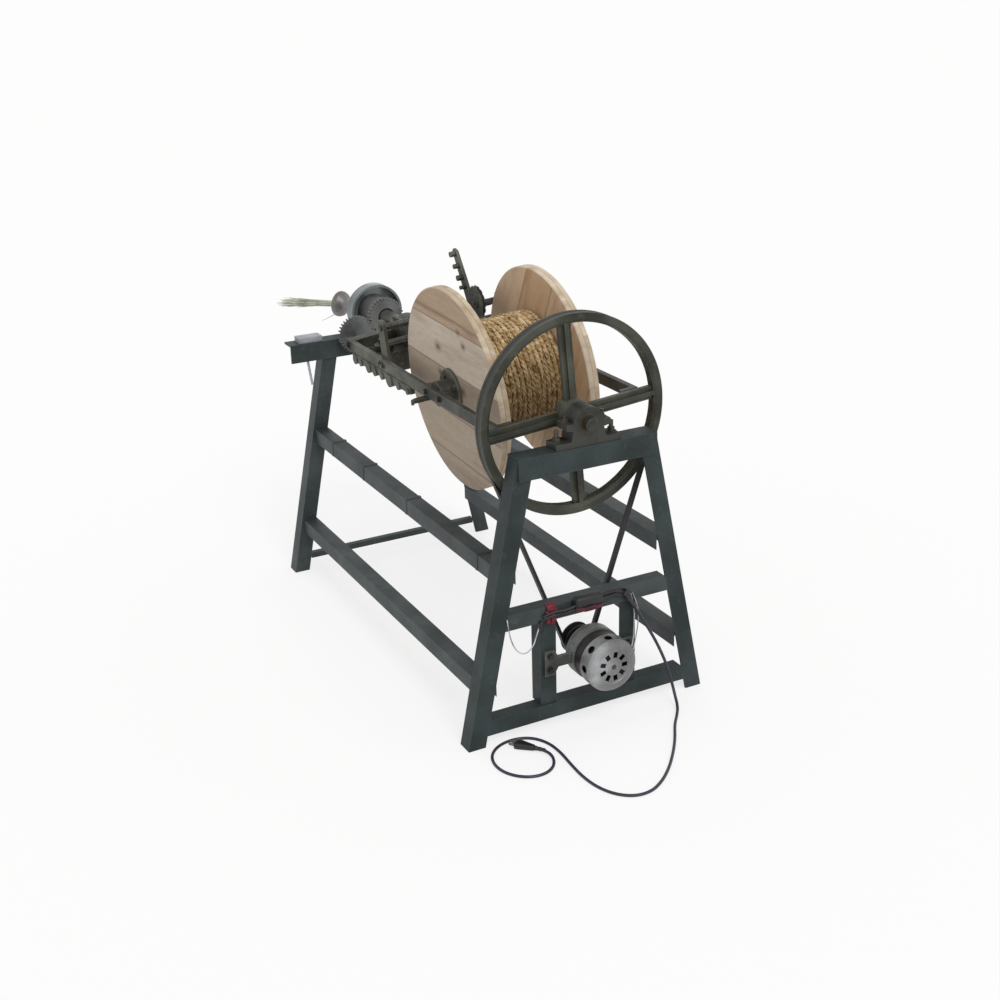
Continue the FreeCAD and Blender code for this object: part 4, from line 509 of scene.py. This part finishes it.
def addCurve(name, lines, radius, material, body, detail=2, order=3, radii=None):
    # a tube along each list of points; the points hold its radius, so that the curve's box is true
    data = bpy.data.curves.new(name, "CURVE")
    data.dimensions = "3D"
    data.bevel_depth = 1
    data.bevel_resolution = detail
    data.resolution_u = 6
    data.use_fill_caps = True
    for index, points in enumerate(lines):
        line = data.splines.new("NURBS" if order else "POLY")
        line.points.add(len(points) - 1)
        for k, (point, place) in enumerate(zip(line.points, points)):
            point.co = (*place, 1)
            point.radius = radius * (radii[index][k] if radii else 1)
        if order:
            line.order_u = order
            line.use_endpoint_u = True
    data.materials.append(finish[material])
    item = bpy.data.objects.new(name, data)
    scene.collection.objects.link(item)
    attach(item, body)
    return item


# Mains cord, with its route's points

floorHigh = 0.0037
cord = {
    "radius": 0.0035, "length": 1.451,
    "route": [(0.102, -0.003, 0.276), (0.121, -0.003, 0.2464), (0.138, -0.008, 0.214), (0.156, -0.012, 0.181),
              (0.173, -0.016, 0.145), (0.188, -0.021, 0.107), (0.199, -0.028, 0.066), (0.203, -0.040, 0.027),
              (0.195, -0.067, 0.006), (0.174, -0.094, floorHigh), (0.146, -0.126, floorHigh),
              (0.112, -0.178, floorHigh), (0.074, -0.226, floorHigh), (0.034, -0.270, floorHigh),
              (-0.006, -0.304, floorHigh), (-0.046, -0.326, floorHigh), (-0.086, -0.324, floorHigh),
              (-0.118, -0.298, floorHigh), (-0.137, -0.256, floorHigh), (-0.143, -0.206, floorHigh),
              (-0.140, -0.150, floorHigh), (-0.135, -0.098, floorHigh), (-0.139, -0.050, floorHigh),
              (-0.161, -0.013, floorHigh), (-0.198, 0.001, floorHigh), (-0.238, -0.005, floorHigh),
              (-0.270, -0.030, floorHigh), (-0.285, -0.068, floorHigh), (-0.281, -0.108, floorHigh),
              (-0.260, -0.140, floorHigh), (-0.230, -0.157, floorHigh), (-0.199, -0.156, floorHigh),
              (-0.174, -0.139, floorHigh), (-0.160, -0.112, 0.006), (-0.163, -0.084, 0.009),
              (-0.180, -0.062, 0.009)],
}
mainsCord = addCurve("mainsCord", [[spot(*p) for p in cord["route"]]], cord["radius"], "cordRubber", "stand",
                     detail=3)
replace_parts(mainsCord, "mains_cord")


def addForm(name, form, materials, body):
    # a mesh piece from a bmesh, riding a body
    bmesh.ops.remove_doubles(form, verts=form.verts, dist=1e-6)
    bmesh.ops.recalc_face_normals(form, faces=form.faces)
    mesh = bpy.data.meshes.new(name)
    form.to_mesh(mesh)
    form.free()
    for material in materials:
        mesh.materials.append(finish[material])
    item = bpy.data.objects.new(name, mesh)
    scene.collection.objects.link(item)
    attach(item, body)
    return item


def axes(ahead):
    # a level frame whose first axis looks along a line
    ahead = ahead.normalized()
    side = Vector((ahead.y, -ahead.x, 0)).normalized()
    return ahead, side, side.cross(ahead)


def addLoft(form, start, ahead, sections, around=24, material=0, power=3.2):
    # rounded sections (distance, half width, half height) joined and closed
    ahead, side, high = axes(ahead)
    rings = []
    for far, wide, tall in sections:
        ring = []
        for k in range(around):
            angle = 2 * math.pi * k / around
            c, n = math.cos(angle), math.sin(angle)
            x = wide * math.copysign(abs(c) ** (2 / power), c)
            z = tall * math.copysign(abs(n) ** (2 / power), n)
            ring.append(form.verts.new(start + ahead * far + side * x + high * z))
        rings.append(ring)
    faces = [form.faces.new((a[k], a[(k + 1) % around], b[(k + 1) % around], b[k]))
             for a, b in zip(rings, rings[1:]) for k in range(around)]
    faces += [form.faces.new(rings[0]), form.faces.new(rings[-1])]
    for face in faces:
        face.material_index = material
        face.smooth = len(face.verts) == 4


plug = {
    # distance from the cord's end, half width, half height
    "relief": [(-0.026, 0.0037, 0.0037), (-0.021, 0.0044, 0.0044), (-0.0205, 0.0039, 0.0039), (-0.016, 0.0041, 0.0041),
               (-0.0155, 0.0049, 0.0049), (-0.0115, 0.0050, 0.0050), (-0.011, 0.0043, 0.0043), (-0.0065, 0.0045, 0.0045),
               (-0.006, 0.0054, 0.0054), (0.001, 0.0058, 0.0056)],
    "shell": [(0.0, 0.0056, 0.0054), (0.002, 0.0066, 0.0062), (0.012, 0.0084, 0.0070), (0.026, 0.0110, 0.0080),
              (0.038, 0.0132, 0.0085), (0.042, 0.0134, 0.0085), (0.0445, 0.0126, 0.0079), (0.045, 0.0112, 0.0066)],
    "pins": {"apart": 0.0055, "wide": 0.0017, "tall": 0.0031, "from": 0.043, "to": 0.0600},
}


def makePlug(s):
    end, before = spot(*cord["route"][-1]), spot(*cord["route"][-2])
    line = Vector(((end - before).x, (end - before).y, 0))
    form = bmesh.new()
    addLoft(form, end, line, s["relief"], power=2)
    addLoft(form, end, line, s["shell"], around=32)
    pins = s["pins"]
    for side in (-1, 1):
        start = end + axes(line)[1] * side * pins["apart"]
        wide, tall, near, far = pins["wide"], pins["tall"], pins["from"], pins["to"]
        addLoft(form, start, line, [(near, wide, tall), (far - 0.003, wide, tall), (far - 0.001, wide * 0.8, tall * 0.8),
                                    (far, wide * 0.45, tall * 0.5)], around=16, material=1, power=4)
    return addForm("plugBody", form, ["plugPlastic", "pinSteel"], "stand")


plugBody = makePlug(plug)
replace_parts(plugBody, "mains_plug")
print("cord laid")

# Wiring on the cross bar: clip, leads, capacitor and red cloth ties

wiring = {
    "leads": [[(-0.206, 0.003, 0.300), (-0.204, -0.001, 0.262), (-0.189, -0.003, 0.222), (-0.166, -0.003, 0.208),
               (-0.145, -0.001, 0.222), (-0.134, 0.002, 0.248), (-0.126, 0.003, 0.266)],
              [(0.112, 0.003, 0.290), (0.124, 0.002, 0.262), (0.130, 0.001, 0.228), (0.118, -0.005, 0.176),
               (0.104, -0.013, 0.142), (0.080, -0.019, 0.126)],
              [(0.108, 0.003, 0.288), (0.118, 0.002, 0.250), (0.116, 0.000, 0.210), (0.112, -0.004, 0.176),
               (0.098, -0.012, 0.142), (0.076, -0.018, 0.128)]],
    "leadRadius": 0.0014,
    "bundle": [[(0.016, -0.010, 0.310), (0.044, -0.006, 0.311), (0.072, -0.003, 0.306), (0.096, -0.003, 0.292)],
               [(0.016, -0.014, 0.303), (0.040, -0.008, 0.300), (0.070, -0.003, 0.301), (0.094, -0.001, 0.288)],
               [(0.016, -0.013, 0.296), (0.046, -0.006, 0.303), (0.074, -0.002, 0.296), (0.097, 0.000, 0.285)],
               [(-0.118, 0.001, 0.286), (-0.094, -0.006, 0.298), (-0.070, -0.008, 0.292), (-0.044, -0.012, 0.300)],
               [(-0.116, 0.001, 0.280), (-0.090, -0.004, 0.288), (-0.066, -0.005, 0.284), (-0.042, -0.010, 0.292)],
               [(-0.126, 0.004, 0.272), (-0.120, -0.001, 0.262), (-0.124, 0.001, 0.250)]],
    "bundleRadius": 0.0038,
    "case": {"low": (-0.046, -0.0215, 0.2875), "high": (0.024, 0.0048, 0.3195), "round": 0.008},
}


def roundedBox(form, low, high, size, segments=3, material=0):
    made = bmesh.ops.create_cube(form, size=1)["verts"]
    low, high = Vector(low), Vector(high)
    for vertex in made:
        vertex.co = Vector([(low[k] + high[k]) / 2 + vertex.co[k] * (high[k] - low[k]) for k in range(3)])
    edges = list({edge for vertex in made for edge in vertex.link_edges})
    bmesh.ops.bevel(form, geom=edges, offset=size, segments=segments, affect="EDGES", profile=0.5, material=-1)
    for face in form.faces:
        face.smooth = True


def makeCase(s):
    form = bmesh.new()
    roundedBox(form, spot(*s["low"]), spot(*s["high"]), s["round"], 4)
    return addForm("capacitorBody", form, ["capacitorCase"], "stand")


def makeCloth(form, x, wide, path, waist, seed):
    # a strip of cloth laid along a path in Y and Z, gathered into folds
    rows = []
    spots = [Vector((0, y, z)) for y, z in path]
    steps = [spots[i].lerp(spots[i + 1], k / 5) for i in range(len(spots) - 1) for k in range(5)] + [spots[-1]]
    for i, place in enumerate(steps):
        before, after = steps[max(0, i - 1)], steps[min(len(steps) - 1, i + 1)]
        run = (after - before).normalized()
        out = Vector((0, run.z, -run.y))
        share = i / (len(steps) - 1)
        half = wide / 2 * (1 - waist * math.sin(math.pi * share) ** 2)
        row = []
        for k in range(15):
            across = -1 + 2 * k / 14
            fold = 0.0011 * math.sin(across * 9 + 2.5 * noise.noise(Vector((share * 4, seed, 0))))
            fold += 0.0012 * noise.noise(Vector((across * 3, share * 9, seed)))
            row.append(form.verts.new(spot(x + across * half, place.y, place.z) + out * fold))
        rows.append(row)
    for a, b in zip(rows, rows[1:]):
        for k in range(14):
            form.faces.new((a[k], a[k + 1], b[k + 1], b[k])).smooth = True


def addCloth(name, strips, bands, material):
    # folded strips and thin twisted bands of one cloth tie
    form = bmesh.new()
    for strip in strips:
        makeCloth(form, *strip)
    tie = addForm(name, form, [material], "stand")
    thick = tie.modifiers.new("thick", "SOLIDIFY")
    thick.thickness = 0.0009
    thick.offset = 0
    band = addCurve(name + "Band", [[spot(*p) for p in line] for line in bands], 0.0024, material, "stand")
    for piece in (tie, band):
        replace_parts(piece, "motor_wiring")


# round the bar at the left post, then under the capacitor
addCloth("postTie", [
    (-0.0970, 0.026, [(0.0030, 0.266), (0.0010, 0.278), (0.0005, 0.292), (0.0020, 0.3085), (0.011, 0.3100)], 0.25, 1.3),
    (-0.0950, 0.011, [(0.0020, 0.262), (-0.0035, 0.276), (-0.0040, 0.290), (-0.0010, 0.304)], 0.4, 4.7)],
    [[(-0.111, 0.0020, 0.296), (-0.104, -0.0040, 0.290), (-0.094, -0.0050, 0.293), (-0.084, 0.0010, 0.300)]],
    "redCloth")
addCloth("capacitorTie", [
    (-0.0060, 0.013, [(0.0030, 0.272), (-0.010, 0.280), (-0.0230, 0.287), (-0.0238, 0.298)], 0.2, 7.1)],
    [[(-0.047, -0.0205, 0.2960), (-0.030, -0.0238, 0.2935), (-0.010, -0.0250, 0.2955), (0.008, -0.0240, 0.2925),
      (0.022, -0.0210, 0.2950)],
     [(-0.045, -0.0210, 0.2905), (-0.026, -0.0240, 0.2905), (-0.004, -0.0245, 0.2890), (0.014, -0.0235, 0.2900)]],
    "dullRedCloth")
capacitorBody = makeCase(wiring["case"])
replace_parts(capacitorBody, "capacitor")
greyLeads = addCurve("greyLeads", [[spot(*p) for p in line] for line in wiring["leads"]], wiring["leadRadius"],
                     "greyLead", "stand", detail=2)
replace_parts(greyLeads, "motor_wiring")
blackLeads = addCurve("blackLeads", [[spot(*p) for p in line] for line in wiring["bundle"]],
                      wiring["bundleRadius"], "blackLead", "stand", detail=2)
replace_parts(blackLeads, "motor_wiring")


def makeClip():
    # the clip that holds the cord's first run, and the small joint on the left lead
    form = bmesh.new()
    start, following = spot(*cord["route"][0]), spot(*cord["route"][1])
    line = following - start
    addLoft(form, start, line, [(-0.030, 0.0068, 0.0068), (-0.029, 0.0078, 0.0078), (-0.012, 0.0080, 0.0080),
                                (-0.006, 0.0074, 0.0074), (-0.001, 0.0056, 0.0056), (0.012, 0.0048, 0.0048),
                                (0.022, 0.0037, 0.0037)], around=20, power=3)
    joint = spot(-0.125, 0.002, 0.262)
    addLoft(form, joint, Vector((0.15, 0.05, 1)), [(-0.007, 0.0030, 0.0030), (-0.006, 0.0040, 0.0040),
                                                  (0.012, 0.0042, 0.0042), (0.014, 0.0030, 0.0030)], around=14)
    return addForm("cordClip", form, ["plugPlastic"], "stand")


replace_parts(makeClip(), "motor_wiring")
print("wiring made")

# Straw rope on the reel: three strands twisted round each other along every turn

rope = {"turns": 14.5, "pitch": 0.0129, "middle": 0.134, "lay": 0.040, "strand": 0.0036, "offset": 0.0031,
        "steps": 150, "wander": 0.0011, "seed": 4}


def windStrands(s):
    noise.seed_set(s["seed"])                    # so that the strands wander alike in every run
    lines = []
    radii = []
    count = int(s["turns"] * s["steps"])
    twists = 2 * math.pi * s["middle"] / s["lay"]
    startX = -s["turns"] * s["pitch"] / 2
    for strand in range(3):
        points = []
        widths = []
        for i in range(count + 1):
            share = i / s["steps"]
            angle = 2 * math.pi * share
            jitter = noise.noise_vector(Vector((share * 1.7, s["seed"], 0.5)))
            middle = s["middle"] + s["wander"] * jitter.x
            along = startX + s["pitch"] * share + 0.6 * s["wander"] * jitter.y
            twist = 2 * math.pi * (twists * share + strand / 3) + jitter.z
            out = middle + s["offset"] * math.cos(twist)
            side = along + s["offset"] * math.sin(twist)
            points.append(reelMiddle + reelAcross * side + Vector((0, out * math.cos(angle), 0))
                          + reelUp * out * math.sin(angle))
            widths.append(1 + 0.16 * noise.noise(Vector((share * 60, strand * 9, s["seed"]))))
        lines.append(points)
        radii.append(widths)
    return lines, radii


ropeLines, ropeRadii = windStrands(rope)
ropeStrands = addCurve("ropeStrands", ropeLines, rope["strand"], "ropeStraw", "reel", detail=1, order=0,
                       radii=ropeRadii)
ropeStrands.data.resolution_u = 1
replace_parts(ropeStrands, "wound_rope")

# Loose straws lie over the turns, and a few stick out
loose = {"count": 420, "radius": 0.00085, "lowest": 0.1395, "highest": 0.1422, "seed": 21}


def makeLoose(s):
    dice = random.Random(s["seed"])
    lines, radii = [], []
    half = rope["turns"] * rope["pitch"] / 2 - 0.004
    for _ in range(s["count"]):
        side = dice.uniform(-half, half)
        angle = dice.uniform(0, 2 * math.pi)
        turn = dice.uniform(0.10, 0.30)
        drift = dice.uniform(-0.009, 0.009)
        out = dice.uniform(s["lowest"], s["highest"])
        lift = 0.006 * max(0, dice.uniform(-3, 1))
        points = []
        for k in range(5):
            share = k / 4
            here = angle + turn * share
            far = out - 0.0035 * (2 * share - 1) ** 2 + lift * share ** 3
            points.append(reelMiddle + reelAcross * (side + drift * share) + Vector((0, far * math.cos(here), 0))
                          + reelUp * far * math.sin(here))
        lines.append(points)
        radii.append([0.6, 1.0, dice.uniform(0.8, 1.3), 1.0, 0.5])
    return lines, radii


looseLines, looseRadii = makeLoose(loose)
looseStraws = addCurve("looseStraws", looseLines, loose["radius"], "looseStraw", "reel", detail=0,
                       radii=looseRadii)
looseStraws.data.resolution_u = 2
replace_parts(looseStraws, "wound_rope")
print("rope wound")

# Straw in the left horn: long thin stalks that fan out at their tips

sheaf = {"stalks": 84, "radius": 0.00105, "inside": 0.0065, "spread": 0.0150, "sag": 0.042, "seed": 11}


def makeSheaf(s):
    dice = random.Random(s["seed"])
    splay, rise = math.radians(25), math.radians(3)
    line = Vector((-math.sin(splay) * math.cos(rise), math.cos(splay) * math.cos(rise), math.sin(rise)))
    across = Vector((line.y, -line.x, 0)).normalized()
    high = line.cross(across) * -1
    base = spot(-0.022, 1.194, axisHigh)
    lines = []
    radii = []
    for _ in range(s["stalks"]):
        angle = dice.uniform(0, 2 * math.pi)
        inner = s["inside"] * math.sqrt(dice.random())
        outer = inner * s["spread"] / s["inside"] * dice.uniform(0.8, 1.05)
        reach = dice.uniform(0.24, 0.331)
        turnIn = dice.uniform(-0.5, 0.5)
        points = []
        widths = []
        for k in range(7):
            share = k / 6
            wide = inner + (outer - inner) * share ** 2.6
            here = angle + turnIn * share
            bow = 0.0012 * math.sin(share * math.pi) * dice.uniform(-1, 1)
            far = 0.008 + (reach - 0.008) * share
            sag = s["sag"] * max(0, (far - 0.07) / 0.26) ** 1.2
            points.append(base + line * far + (across * math.cos(here) + high * math.sin(here)) * (wide + bow)
                          - Vector((0, 0, sag)))
            widths.append(dice.uniform(0.8, 1.1) * (1 - 0.45 * share ** 3))
        lines.append(points)
        radii.append(widths)
    # one stray stalk hangs out of the horn's mouth
    mouth = base + line * 0.084 + across * -0.004 - high * 0.020
    lines.append([mouth - line * 0.03 + high * 0.012, mouth, mouth + line * 0.022 - high * 0.016 - across * 0.004,
                  mouth + line * 0.046 - high * 0.030 - across * 0.006,
                  mouth + line * 0.066 - high * 0.040 - across * 0.006])
    radii.append([1.2, 1.2, 1.0, 0.8, 0.5])
    return lines, radii


stalkLines, stalkRadii = makeSheaf(sheaf)
stalks = addCurve("strawStalks", stalkLines, sheaf["radius"], "dryStraw", "left_horn", detail=0,
                  radii=stalkRadii)
stalks.data.resolution_u = 3
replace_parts(stalks, "straw")
print("straw laid")

# Floor and light

stage = {"radius": 60, "floor": (0.9, 0.9, 0.89, 1), "shown": 0.72, "sky": 0.78, "sun": 1.15, "sunAngle": 28,
         "sunTurn": (38, -22, 24)}


def makeFloor(s):
    mesh = bpy.data.meshes.new("floor")
    form = bmesh.new()
    bmesh.ops.create_circle(form, cap_ends=True, segments=64, radius=s["radius"])
    form.to_mesh(mesh)
    form.free()
    item = bpy.data.objects.new("floor", mesh)
    scene.collection.objects.link(item)
    material, tree, shader = newMaterial("floor", 1.0)
    shader.inputs["Base Color"].default_value = s["floor"]
    shader.inputs["Specular IOR Level"].default_value = 0
    glow = addNode(tree, "ShaderNodeEmission", Color=(1, 1, 1, 1), Strength=1.0)
    seen = addNode(tree, "ShaderNodeLightPath")
    share = maths(tree, "MULTIPLY", maths(tree, "MAXIMUM", seen.outputs["Is Camera Ray"],
                                          seen.outputs["Is Glossy Ray"]), s["shown"])
    mix = addNode(tree, "ShaderNodeMixShader")
    join(tree, (share, mix.inputs[0]), (shader.outputs[0], mix.inputs[1]), (glow.outputs[0], mix.inputs[2]),
         (mix.outputs[0], tree.nodes["Material Output"].inputs["Surface"]))
    mesh.materials.append(material)


def makeLight(s):
    world = bpy.data.worlds.new("sky")
    world.use_nodes = True
    scene.world = world
    tree = world.node_tree
    seen = addNode(tree, "ShaderNodeLightPath")
    white = maths(tree, "MAXIMUM", seen.outputs["Is Camera Ray"],
                  maths(tree, "MAXIMUM", seen.outputs["Is Glossy Ray"], seen.outputs["Is Transmission Ray"]))
    level = maths(tree, "MULTIPLY_ADD", white, 1 - s["sky"], s["sky"])
    back = tree.nodes["Background"]
    back.inputs["Color"].default_value = (1, 1, 1, 1)
    join(tree, (level, back.inputs["Strength"]))
    data = bpy.data.lights.new("sun", "SUN")
    data.energy = s["sun"]
    data.angle = math.radians(s["sunAngle"])
    item = bpy.data.objects.new("sun", data)
    scene.collection.objects.link(item)
    item.rotation_euler = [math.radians(v) for v in s["sunTurn"]]


makeFloor(stage)
makeLight(stage)
scene.view_settings.view_transform = "Standard"

print("scene made")
